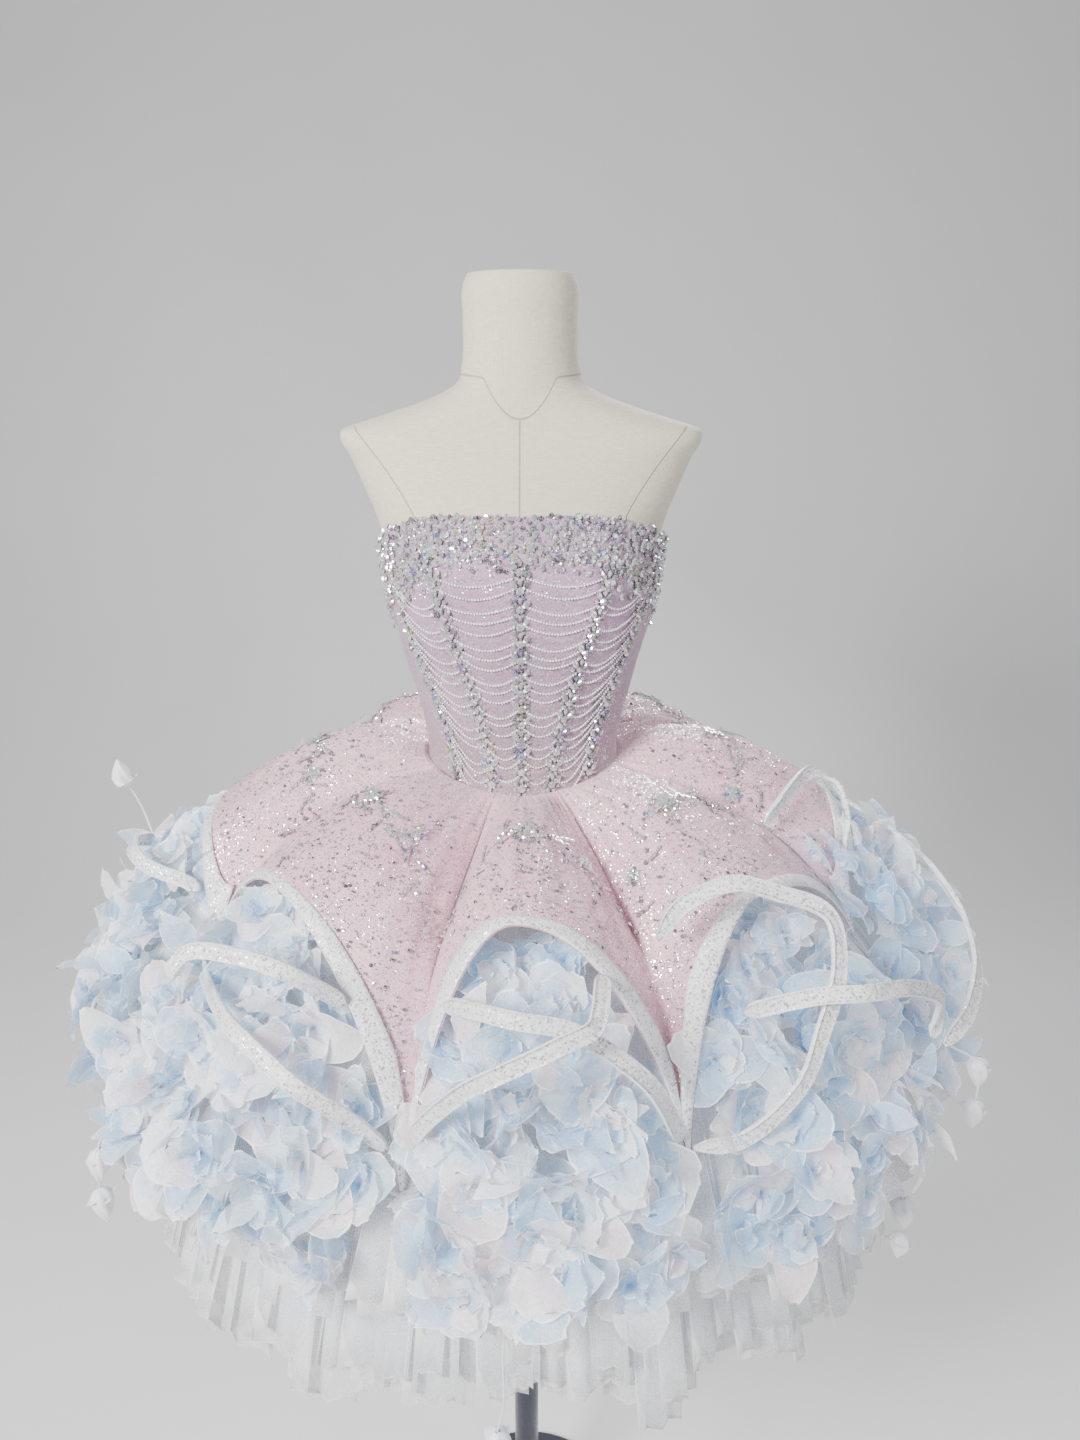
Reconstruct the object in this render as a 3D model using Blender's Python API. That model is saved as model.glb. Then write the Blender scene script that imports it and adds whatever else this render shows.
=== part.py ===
"""Mini prom dress on a limbless dress form: fitted strapless bodice, fluted overskirt whose stiff hem
arches over flower filled mouths, two pleated tulle underskirts, free horsehair loops, bud sprays.
Metres, +Z up, front of the dress towards -Y, its left side as seen from the front towards -X."""
import bisect
import math

import bpy
import bmesh
import numpy as np
from mathutils import Vector
from mathutils.bvhtree import BVHTree

for old in list(bpy.data.objects):
    bpy.data.objects.remove(old, do_unlink=True)

# ---------------------------------------------------------------- driving sizes (metres)
SEAM = 0.0003          # gap kept between two pieces sewn together
CLOTH = 0.0020         # wall of the overskirt and the bodice
TULLE = 0.0016         # wall of a tulle layer
EASE = 0.0021          # between the dress form and the inside of the bodice
BAND_WIDE = 0.015      # horsehair braid along the overskirt hem
BAND_THICK = 0.0024
LOOP_WIDE = 0.013      # free horsehair loops
LOOP_THICK = 0.006
BASE_RADIUS = 0.155    # round foot of the stand
BASE_THICK = 0.012
POLE_RADIUS = 0.0165
FORM_BOTTOM = 1.030
EDGE_DROP = 0.012      # how far the bodice runs below the waist seam

# ---------------------------------------------------------------- tables
# dress form sections: height, half width, depth to the front, depth to the back, squareness
FORM = [
    ("underside", 1.030, 0.150, 0.104, 0.112, 2.1),
    ("edge", 1.036, 0.158, 0.110, 0.118, 2.1),
    ("hip", 1.090, 0.162, 0.108, 0.122, 2.1),
    ("high_hip", 1.150, 0.148, 0.100, 0.112, 2.1),
    ("belly", 1.200, 0.120, 0.090, 0.093, 2.1),
    ("waist_low", 1.235, 0.103, 0.084, 0.081, 2.1),
    ("waist", 1.262, 0.099, 0.082, 0.078, 2.1),
    ("waist_high", 1.290, 0.102, 0.085, 0.079, 2.1),
    ("rib_low", 1.325, 0.110, 0.090, 0.084, 2.1),
    ("rib", 1.360, 0.119, 0.096, 0.090, 2.15),
    ("under_bust", 1.395, 0.128, 0.103, 0.096, 2.2),
    ("bust_low", 1.425, 0.135, 0.108, 0.100, 2.25),
    ("bust", 1.455, 0.1400, 0.110, 0.103, 2.3),
    ("bust_high", 1.485, 0.1425, 0.105, 0.105, 2.3),
    ("chest_low", 1.512, 0.149, 0.096, 0.105, 2.3),
    ("chest", 1.540, 0.160, 0.085, 0.100, 2.3),
    ("arm_cut", 1.572, 0.1735, 0.072, 0.085, 2.3),
    ("tip", 1.594, 0.1835, 0.061, 0.070, 2.4),
    ("tip_edge", 1.599, 0.1815, 0.059, 0.067, 2.3),
    ("shoulder", 1.608, 0.155, 0.058, 0.063, 2.2),
    ("shoulder_mid", 1.619, 0.120, 0.057, 0.061, 2.1),
    ("shoulder_high", 1.631, 0.086, 0.056, 0.060, 2.0),
    ("neck_base", 1.643, 0.0650, 0.0555, 0.0585, 2.0),
    ("neck_low", 1.658, 0.0595, 0.0550, 0.0560, 2.0),
    ("neck", 1.700, 0.0570, 0.0545, 0.0545, 2.0),
    ("neck_high", 1.738, 0.0550, 0.0545, 0.0545, 2.0),
    ("neck_top", 1.744, 0.0520, 0.0515, 0.0515, 2.0),
]
# bodice edges by angle from the centre front: neckline height, waist seam height, crystal band depth
EDGES = [
    (0, 1.523, 1.228, 0.044),
    (30, 1.521, 1.234, 0.046),
    (60, 1.503, 1.243, 0.070),
    (90, 1.484, 1.250, 0.078),
    (130, 1.468, 1.252, 0.056),
    (180, 1.464, 1.252, 0.046),
]
# bodice seams: angle at the waist seam, angle at the neckline
SEAMS = [
    ("centre_front", 0.0, 0.0),
    ("front_princess", 14.0, 36.0),
    ("side_front", 38.0, 65.0),
    ("side_back", 104.0, 104.0),
    ("centre_back", 178.9, 178.9),
]
# overskirt: feet where the hem hangs lowest: angle, radius, height
FEET = [
    (-17, 0.365, 0.925),
    (-66, 0.350, 1.085),
    (-113, 0.362, 1.060),
    (-158, 0.366, 0.965),
    (-202, 0.366, 0.970),
    (-248, 0.366, 1.055),
    (-290, 0.372, 1.090),
    (-335, 0.370, 0.955),
]
# overskirt: arches after each foot: angle of the top, radius, height, puff above the waist
ARCHES = [
    ("left_front", -49, 0.314, 1.192, 0.010),
    ("left", -88, 0.352, 1.190, 0.020),
    ("left_back", -136, 0.335, 1.192, 0.020),
    ("back", -180, 0.318, 1.198, 0.018),
    ("right_back", -224, 0.335, 1.194, 0.020),
    ("right", -269, 0.350, 1.198, 0.022),
    ("right_front", -317, 0.322, 1.192, 0.014),
    ("front", -360.5, 0.300, 1.200, 0.006),
]
GORES = ["overskirt_left", "overskirt_back", "overskirt_right", "overskirt_front"]
# share of the way from waist to hem: along a ridge (out, drop), along a valley (out, drop), puff
RUN = [
    (0.00, 0.000, 0.000, 0.000, 0.000, 0.00),
    (0.16, 0.170, 0.020, 0.190, 0.075, 0.75),
    (0.32, 0.350, 0.110, 0.375, 0.160, 1.00),
    (0.50, 0.540, 0.300, 0.560, 0.265, 0.85),
    (0.68, 0.730, 0.560, 0.730, 0.380, 0.50),
    (0.85, 0.890, 0.810, 0.880, 0.650, 0.18),
    (1.00, 1.000, 1.000, 1.000, 1.000, 0.00),
]
# underskirt hems by angle: long layer radius, height, flared layer radius, height
HEMS = [
    (0, 0.335, 0.722, 0.372, 0.850),
    (25, 0.350, 0.715, 0.385, 0.845),
    (60, 0.405, 0.708, 0.450, 0.885),
    (90, 0.420, 0.716, 0.490, 0.925),
    (135, 0.410, 0.722, 0.470, 0.905),
    (180, 0.400, 0.725, 0.455, 0.890),
]
# underskirt runs: share of length, long layer (out, drop), flared layer (out, drop)
FALL = [
    (0.00, 0.00, 0.000, 0.00, 0.000),
    (0.20, 0.30, 0.100, 0.28, 0.100),
    (0.40, 0.55, 0.270, 0.53, 0.270),
    (0.60, 0.74, 0.480, 0.72, 0.490),
    (0.80, 0.88, 0.730, 0.87, 0.750),
    (1.00, 1.00, 1.000, 1.00, 1.000),
]
LONG_PLEATS = 32
FLARE_PLEATS = 28
# free loops: name, then rows of (angle, radius, height)
LOOPS = [
    ("loop_cross_rising", [(-15.0, .378, 1.006), (-8.2, .399, 1.085), (-1.9, .410, 1.129),
                           (4.2, .407, 1.151), (8.4, .400, 1.158), (11.5, .372, 1.163), (13.8, .334, 1.163)]),
    ("loop_cross_falling", [(-10.4, .340, 1.130), (-5.0, .366, 1.152), (0.8, .380, 1.157),
                            (7.5, .379, 1.144), (14.0, .388, 1.112), (19.5, .392, 1.063),
                            (23.5, .383, 1.008)]),
    ("loop_right_big", [(26.0, .380, .998), (29.8, .392, 1.000), (34.0, .405, 1.020),
                        (36.8, .420, 1.067), (38.2, .426, 1.125), (39.8, .424, 1.163),
                        (42.0, .415, 1.192), (41.5, .395, 1.215), (38.0, .370, 1.225),
                        (33.5, .345, 1.234), (28.5, .330, 1.226), (24.5, .320, 1.204),
                        (22.5, .318, 1.182)]),
    ("loop_right_over", [(30.0, .360, 1.128), (34.0, .398, 1.150), (41.0, .452, 1.160),
                         (48.0, .458, 1.142), (54.0, .468, 1.116), (57.0, .470, 1.086),
                         (55.5, .468, 1.062)]),
    ("loop_right_round", [(57.0, .478, 1.050), (62.0, .490, 1.062), (68.0, .494, 1.078),
                          (73.0, .488, 1.096), (78.0, .471, 1.122), (84.0, .440, 1.148),
                          (90.0, .402, 1.166), (95.0, .370, 1.180)]),
    ("loop_right_arch", [(72.5, .368, 1.176), (78.5, .362, 1.204), (84.0, .345, 1.226),
                         (82.0, .318, 1.243), (74.0, .296, 1.244), (66.0, .280, 1.228)]),
    ("loop_left_over", [(-47.0, .424, 1.138), (-46.5, .418, 1.160), (-43.5, .400, 1.170),
                        (-38.5, .386, 1.170), (-33.5, .376, 1.166), (-29.5, .362, 1.150),
                        (-27.0, .342, 1.124)]),
    ("loop_left_fall", [(-63.0, .380, 1.098), (-50.0, .394, 1.110), (-38.0, .402, 1.105),
                        (-29.0, .404, 1.082), (-23.5, .398, 1.050), (-19.5, .382, 1.000)]),
    ("loop_left_back", [(-88.0, .420, 1.150), (-84.0, .432, 1.162), (-79.0, .424, 1.164),
                        (-75.0, .402, 1.152), (-72.0, .372, 1.130)]),
]
# flower clusters: name, angle at the left, angle at the right (top row, bottom row), start and end
# share along the flared layer, depth of the heap
CLUSTERS = [
    ("flowers_front", -6, 8, -14, 21, 0.58, 0.94, 0.047),
    ("flowers_left_front", -53, -40, -61, -22, 0.50, 0.93, 0.060),
    ("flowers_left", -99, -75, -106, -70, 0.48, 0.92, 0.052),
    ("flowers_left_back", -142, -127, -147, -120, 0.52, 0.92, 0.050),
    ("flowers_back", -186, -172, -197, -163, 0.54, 0.92, 0.046),
    ("flowers_right_back", -231, -214, -241, -210, 0.52, 0.92, 0.050),
    ("flowers_right", -286, -258, -293, -253, 0.48, 0.92, 0.056),
    ("flowers_right_front", -323, -306, -330, -299, 0.50, 0.93, 0.060),
]
# bud sprays: name, cluster it hangs from, rows of (angle, radius, height, thickness)
SPRAYS = [
    ("buds_left_top", [(-91, .420, 1.140, .0015), (-92, .430, 1.175, .0012), (-91, .434, 1.205, .0012),
                       (-90, .436, 1.212, .0085), (-90, .437, 1.226, .0095), (-89, .438, 1.244, .0010)]),
    ("buds_left_low", [(-58, .480, .960, .0014), (-58, .505, .945, .0012), (-58, .512, .915, .0080),
                       (-58, .513, .898, .0100), (-58, .513, .886, .0016), (-57, .512, .876, .0100),
                       (-57, .511, .858, .0085), (-57, .511, .848, .0010)]),
    ("buds_front", [(-1, .425, .865, .0014), (-2, .420, .820, .0012), (-2, .412, .760, .0012),
                    (-3, .408, .716, .0012), (-3, .407, .706, .0090), (-3, .406, .688, .0110),
                    (-3, .406, .674, .0016), (-4, .406, .664, .0100), (-4, .405, .646, .0085),
                    (-4, .405, .636, .0010)]),
    ("buds_right_high", [(69, .500, 1.000, .0014), (69, .512, .985, .0012), (69, .514, .972, .0085),
                         (69, .515, .956, .0100), (69, .515, .944, .0014), (69, .515, .930, .0012),
                         (69, .515, .918, .0095), (69, .515, .900, .0085), (69, .515, .890, .0010)]),
    ("buds_right_low", [(58, .470, .880, .0014), (58, .482, .860, .0012), (58, .485, .845, .0090),
                        (58, .485, .828, .0105), (58, .485, .815, .0014), (57, .484, .800, .0095),
                        (57, .484, .786, .0010)]),
]

# ---------------------------------------------------------------- materials
PAINTS = {
    "form_linen": (0.66, 0.62, 0.53, 0.85),
    "pole_metal": (0.03, 0.035, 0.06, 0.35),
    "bodice_cloth": (0.62, 0.52, 0.60, 0.6),
    "crystals": (0.80, 0.80, 0.86, 0.1),
    "overskirt_organza": (0.80, 0.62, 0.68, 0.5),
    "horsehair_braid": (0.88, 0.88, 0.90, 0.5),
    "tulle_net": (0.80, 0.82, 0.86, 0.7),
    "petal_organza": (0.55, 0.70, 0.90, 0.6),
    "bud_silk": (0.90, 0.86, 0.88, 0.6),
    "zip_nylon": (0.72, 0.64, 0.70, 0.5),
}
MATERIALS = {}
for paint, (red, green, blue, rough) in PAINTS.items():
    made = bpy.data.materials.new(paint)
    made.use_nodes = True
    shader = made.node_tree.nodes["Principled BSDF"]
    shader.inputs["Base Color"].default_value = (red, green, blue, 1.0)
    shader.inputs["Roughness"].default_value = rough
    MATERIALS[paint] = made


# ---------------------------------------------------------------- helpers
def polar(angle, radius, height):
    """Point at an angle (degrees, 0 at the front, positive to the picture's right)."""
    turn = math.radians(angle)
    return np.array([radius * math.sin(turn), -radius * math.cos(turn), height])


def column(rows, at):
    return np.array([row[at] for row in rows], dtype=float)


KNOWN = {}


def eased(rows, key, at, where):
    """Smooth reading of a table column (cubic through the rows, slopes from the neighbours)."""
    name = (id(rows), key, at)
    if name not in KNOWN:
        xs = column(rows, key)
        ys = column(rows, at)
        KNOWN[name] = (list(xs), list(ys), list(np.gradient(ys, xs)))
    xs, ys, slopes = KNOWN[name]
    x = min(max(where, xs[0]), xs[-1])
    i = min(max(bisect.bisect_left(xs, x) - 1, 0), len(xs) - 2)
    h = xs[i + 1] - xs[i]
    u = (x - xs[i]) / h
    return ((1 + 2 * u) * (1 - u) ** 2 * ys[i] + u * (1 - u) ** 2 * h * slopes[i]
            + u * u * (3 - 2 * u) * ys[i + 1] + u * u * (u - 1) * h * slopes[i + 1])


def wobble(*numbers):
    """Fixed noise from 0 to 1 for whole numbers."""
    total = 0.0
    for step, number in enumerate(numbers):
        total += number * (12.9898 + 65.111 * step)
    return (math.sin(total) * 43758.5453) % 1.0


def solid(name, points, faces, paint):
    """One closed body with its faces turned out."""
    mesh = bpy.data.meshes.new(name)
    mesh.from_pydata([tuple(float(v) for v in p) for p in points], [], faces)
    mesh.validate()
    work = bmesh.new()
    work.from_mesh(mesh)
    bmesh.ops.recalc_face_normals(work, faces=work.faces)
    if work.calc_volume(signed=True) < 0:
        bmesh.ops.reverse_faces(work, faces=work.faces)
    work.to_mesh(mesh)
    work.free()
    made = bpy.data.objects.new(name, mesh)
    mesh.materials.append(MATERIALS[paint])
    bpy.context.scene.collection.objects.link(made)
    return made


def wall(name, outer, inner, paint, closed=False):
    """A wall between two grids of points [column][row], closed at its rims."""
    outer = np.asarray(outer, dtype=float)
    inner = np.asarray(inner, dtype=float)
    wide, high = outer.shape[:2]
    points = list(outer.reshape(-1, 3)) + list(inner.reshape(-1, 3))
    back = wide * high
    faces = []
    for i in range(wide if closed else wide - 1):
        k = (i + 1) % wide
        for j in range(high - 1):
            faces.append((i * high + j, k * high + j, k * high + j + 1, i * high + j + 1))
            faces.append((back + i * high + j, back + i * high + j + 1,
                          back + k * high + j + 1, back + k * high + j))
        faces.append((i * high, back + i * high, back + k * high, k * high))
        top = high - 1
        faces.append((i * high + top, k * high + top, back + k * high + top, back + i * high + top))
    if not closed:
        for i in (0, wide - 1):
            for j in range(high - 1):
                faces.append((i * high + j, i * high + j + 1, back + i * high + j + 1, back + i * high + j))
    return solid(name, points, faces, paint)


def stack(name, rings, paint):
    """A closed body from rings of points, capped flat at both ends."""
    rings = np.asarray(rings, dtype=float)
    many, around = rings.shape[:2]
    faces = []
    for r in range(many - 1):
        for k in range(around):
            n = (k + 1) % around
            faces.append((r * around + k, r * around + n, (r + 1) * around + n, (r + 1) * around + k))
    faces.append(tuple(range(around)))
    faces.append(tuple((many - 1) * around + k for k in range(around)))
    return solid(name, rings.reshape(-1, 3), faces, paint)


def tree_of(objects):
    """One search tree over several bodies."""
    points, faces = [], []
    for made in objects:
        start = len(points)
        points.extend(v.co.copy() for v in made.data.vertices)
        faces.extend([start + i for i in f.vertices] for f in made.data.polygons)
    return BVHTree.FromPolygons(points, faces)


def grid_normals(grid, up):
    """Unit normals of a grid [column][row], on the side of the grid named by up."""
    along = np.gradient(grid, axis=0)
    down = np.gradient(grid, axis=1)
    normal = np.cross(along, down)
    normal /= np.linalg.norm(normal, axis=2, keepdims=True) + 1e-12
    sign = np.sign((normal * up).sum(axis=2, keepdims=True))
    return normal * np.where(sign == 0, 1, sign)


# ---------------------------------------------------------------- dress form and stand
def section(height, theta, out):
    """Point of the dress form's section at a height, moved outwards."""
    half = eased(FORM, 1, 2, height) + out
    front = eased(FORM, 1, 3, height) + out
    back = eased(FORM, 1, 4, height) + out
    power = 2.0 / eased(FORM, 1, 5, height)
    turn = math.radians(theta)
    s = math.sin(turn)
    c = math.cos(turn)
    bust = 0.010 * math.exp(-((abs(theta) - 36) / 20) ** 2 - ((height - 1.452) / 0.045) ** 2)
    depth = (front if c > 0 else back) + bust
    x = half * math.copysign(abs(s) ** power, s)
    y = -depth * math.copysign(abs(c) ** power, c)
    return np.array([x, y, height])


FORM_SIDES = 28
form_rings = []
for row in FORM:
    form_rings.append([section(row[1], 360.0 * k / FORM_SIDES - 180.0, 0.0) for k in range(FORM_SIDES)])
form = stack("dress_form", form_rings, "form_linen")


def disc(radius, height, sides):
    return [polar(360.0 * k / sides, radius, height) for k in range(sides)]


stack("stand_base", [disc(BASE_RADIUS, 0.0, 32), disc(BASE_RADIUS, BASE_THICK - 0.003, 32),
                     disc(BASE_RADIUS - 0.003, BASE_THICK, 32), disc(0.034, BASE_THICK + 0.003, 32),
                     disc(0.026, BASE_THICK + 0.022, 32)], "pole_metal")
stack("stand_pole", [disc(POLE_RADIUS, BASE_THICK + 0.0223, 24),
                     disc(POLE_RADIUS, FORM_BOTTOM - SEAM, 24)], "pole_metal")


# ---------------------------------------------------------------- bodice
def edge_of(at, theta):
    return eased(EDGES, 0, at, abs(theta))


def seam_angle(place, share):
    """Angle of a bodice column: place counts seams, share runs from the waist seam to the neckline."""
    side = -1.0 if place < 0 else 1.0
    place = abs(place)
    i = int(min(place, len(SEAMS) - 2))
    low = [row[1] + (row[2] - row[1]) * share for row in SEAMS]
    return side * (low[i] + (low[i + 1] - low[i]) * (place - i))


def bodice_point(place, share, out):
    theta = seam_angle(place, share)
    low = edge_of(2, theta) - EDGE_DROP
    high = edge_of(1, theta)
    return section(low + (high - low) * share, theta, EASE + CLOTH + out)


PANELS = ["centre_front", "side_front", "side", "back"]
BODICE_ROWS = 11
COLUMNS = 4
bodice = []
for side, label in ((-1, "left"), (1, "right")):
    for k, panel in enumerate(PANELS):
        steps = 6 if k >= 2 else COLUMNS
        outer, inner = [], []
        for i in range(steps + 1):
            place = k + i / steps
            trim = 0.0
            if i == 0:
                trim = 0.00020
            if i == steps:
                trim = -0.00020
            outer.append([])
            inner.append([])
            for j in range(BODICE_ROWS + 1):
                share = j / BODICE_ROWS
                a = bodice_point(side * place, share, 0.0)
                b = bodice_point(side * place, share, -CLOTH)
                ahead = bodice_point(side * (place + 0.01), share, 0.0)
                ahead = ahead - bodice_point(side * (place - 0.01), share, 0.0)
                ahead /= np.linalg.norm(ahead)
                outer[-1].append(a + ahead * trim)
                inner[-1].append(b + ahead * trim)
        bodice.append(wall(f"bodice_{panel}_{label}", outer, inner, "bodice_cloth"))

panel_tree = tree_of(bodice)


def onto(tree, point, way, gap):
    """Point moved along way until it lies a gap outside the first face met from outside."""
    start = Vector(point) + Vector(way) * 0.03
    best = None
    for nudge in (-0.0008, 0.0, 0.0008):
        aside = Vector((-way[1], way[0], 0.0)) * nudge
        hit = tree.ray_cast(start + aside, -Vector(way), 0.06)
        if hit[0] is not None and (best is None or hit[3] < best):
            best = hit[3]
    if best is None:
        return np.array(point)
    return np.array(start) - np.array(way) * (best - gap)


def bodice_way(place, share):
    """Unit direction away from the bodice at a place on it."""
    way = bodice_point(place, share, 0.004) - bodice_point(place, share, 0.0)
    return way / np.linalg.norm(way)


# closure at the centre back: a plain zip between the back panels, its slider near the top
zip_outer, zip_inner = [], []
for t in (-1, 1):
    zip_outer.append([])
    zip_inner.append([])
    for j in range(BODICE_ROWS + 1):
        share = 0.985 * j / BODICE_ROWS
        a = bodice_point(t * 4, share, 0.0)
        b = bodice_point(t * 4, share, -CLOTH)
        pull = np.array([-math.copysign(0.0005, a[0]), 0, 0])
        zip_outer[-1].append(a + pull)
        zip_inner[-1].append(b + pull)
zip_tape = wall("zip_tape", zip_outer, zip_inner, "zip_nylon")
waist_tree = tree_of(bodice + [zip_tape])
top = bodice_point(4, 0.80, 0.0)
slider = []
for dy, half, rise in ((0.0009, 0.0022, 0.004), (0.0030, 0.0022, 0.004), (0.0034, 0.0016, 0.003)):
    slider.append([(-half, top[1] + dy, top[2] - rise), (half, top[1] + dy, top[2] - rise),
                   (half, top[1] + dy, top[2] + rise), (-half, top[1] + dy, top[2] + rise)])
stack("zip_slider", slider, "crystals")

# crystal band under the neckline: lies on the panels, its outer points raised unevenly
BAND_ROWS = 6
band_places = []
for k, steps in enumerate((4, 4, 6, 6)):
    band_places.extend(k + i / steps for i in range(steps))
band_places.append(3.985)
band_places = [-p for p in reversed(band_places[1:])] + band_places


def on_panels(place, share):
    """Point of the panels' outer facets on one of their own columns."""
    row = min(share, 0.9999) * BODICE_ROWS
    j = int(row)
    low = bodice_point(place, j / BODICE_ROWS, 0.0)
    high = bodice_point(place, (j + 1) / BODICE_ROWS, 0.0)
    return low + (high - low) * (row - j)


band_outer, band_inner = [], []
for i, place in enumerate(band_places):
    theta = seam_angle(place, 1.0)
    tall = edge_of(1, theta) - edge_of(2, theta) + EDGE_DROP
    depth = edge_of(3, theta) / tall
    band_outer.append([])
    band_inner.append([])
    for j in range(BAND_ROWS):
        share = 0.997 - depth * (1 - j / (BAND_ROWS - 1))
        lift = 0.0014 + 0.0036 * wobble(i, j)
        if j == 0:
            lift = 0.0012 + 0.0015 * wobble(i, 7)
        over = 0.0035 * wobble(i, 11) if j == BAND_ROWS - 1 else 0.0
        way = bodice_way(place, share)
        b = on_panels(place, share) + way * 0.0013
        a = b + way * lift
        a[2] += over
        b[2] += over
        band_outer[-1].append(a)
        band_inner[-1].append(b)
crystal_band = wall("crystal_band", band_outer, band_inner, "crystals")

# five lines of large crystals running down the front seams
LINE_ROWS = 18
lines = []
for number, place in enumerate((-2, -1, 0, 1, 2)):
    theta = seam_angle(place, 0.8)
    tall = edge_of(1, theta) - edge_of(2, theta) + EDGE_DROP
    start = (EDGE_DROP + 0.016) / tall
    finish = 1.0 - edge_of(3, theta) / tall - 0.010 / tall
    outer, inner = [], []
    for across in (-1, 0, 1):
        outer.append([])
        inner.append([])
        for j in range(LINE_ROWS + 1):
            share = start + (finish - start) * j / LINE_ROWS
            big = j % 2
            half = 0.0062 if big else 0.0034
            out = (0.0040 if big else 0.0022) if across == 0 else 0.0010
            step = bodice_point(place + 0.05 * (across or 1), share, 0.0) - bodice_point(place, share, 0.0)
            aside = place + 0.05 * across * half / np.linalg.norm(step)
            way = bodice_way(aside, share)
            b = onto(panel_tree, bodice_point(aside, share, 0.0), way, 0.0007)
            inner[-1].append(b)
            outer[-1].append(b + way * out)
    lines.append(wall(f"crystal_line_{number + 1}", outer, inner, "crystals"))


# ---------------------------------------------------------------- skirt layers
FOUND = {}


def bodice_radius(angle, height):
    """Distance from the axis to the outside of the bodice at an angle and height."""
    name = (round(angle % 360.0, 3), round(height, 6))
    if name not in FOUND:
        best = 0.0
        for nudge in (-1.5, -0.6, 0.0, 0.6, 1.5):
            outside = polar(angle + nudge, 0.5, height)
            hit = waist_tree.ray_cast(Vector(outside), Vector((-outside[0], -outside[1], 0)).normalized(), 0.5)
            if hit[0] is not None:
                best = max(best, 0.5 - hit[3])
        FOUND[name] = best
    return FOUND[name]


def waist_height(angle):
    return edge_of(2, abs(((angle + 180.0) % 360.0) - 180.0))


def arch_weight(angle):
    """0 on the top of an arch, 1 at a foot, with the table rows of both."""
    angle = (angle + 17.0) % 360.0 - 17.0 - 360.0
    if angle > -17.0:
        angle -= 360.0
    turns = [row[0] for row in FEET] + [FEET[0][0] - 360]
    for i in range(len(FEET)):
        high, low = turns[i], turns[i + 1]
        if low <= angle <= high:
            break
    arch = ARCHES[i]
    first = FEET[i]
    second = FEET[(i + 1) % len(FEET)]
    if angle >= arch[1]:
        x = (angle - arch[1]) / (high - arch[1])
        foot = first
    else:
        x = (arch[1] - angle) / (arch[1] - low)
        foot = second
    return x, arch, foot


def overskirt_point(angle, t):
    """Outer face of the overskirt: t runs from the waist seam to the hem."""
    x, arch, foot = arch_weight(angle)
    weight = (1.0 - min(x, 1.0) ** (2.0 + 1.3 * (1.0 - t) ** 0.7)) ** (1.0 - 0.42 * t * t)
    start = waist_height(angle) + 0.006
    radius = bodice_radius(angle, start) + 0.0008
    ridge_out, ridge_drop = eased(RUN, 0, 1, t), eased(RUN, 0, 2, t)
    deep_out, deep_drop = eased(RUN, 0, 3, t), eased(RUN, 0, 4, t)
    puff = eased(RUN, 0, 5, t) * arch[4]
    r_ridge = radius + (arch[2] - radius) * ridge_out
    z_ridge = start + (arch[3] - start) * ridge_drop + puff
    r_deep = radius + (foot[1] - radius) * deep_out
    z_deep = start + (foot[2] - start) * deep_drop
    return polar(angle, r_deep + (r_ridge - r_deep) * weight, z_deep + (z_ridge - z_deep) * weight)


SKIRT_ROWS = 5
ARCH_SHARES = (0.0, 0.23, 0.46, 0.66, 0.82, 0.93, 1.0)


def arch_angles(i):
    """Column angles of one arch, from its first foot to the next, closer near the feet."""
    high = FEET[i][0]
    low = FEET[(i + 1) % len(FEET)][0]
    if low > high:
        low -= 360
    top = ARCHES[i][1]
    first = [top + (high - top) * x for x in reversed(ARCH_SHARES[1:])]
    second = [top + (low - top) * x for x in ARCH_SHARES]
    return first + second


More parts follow.
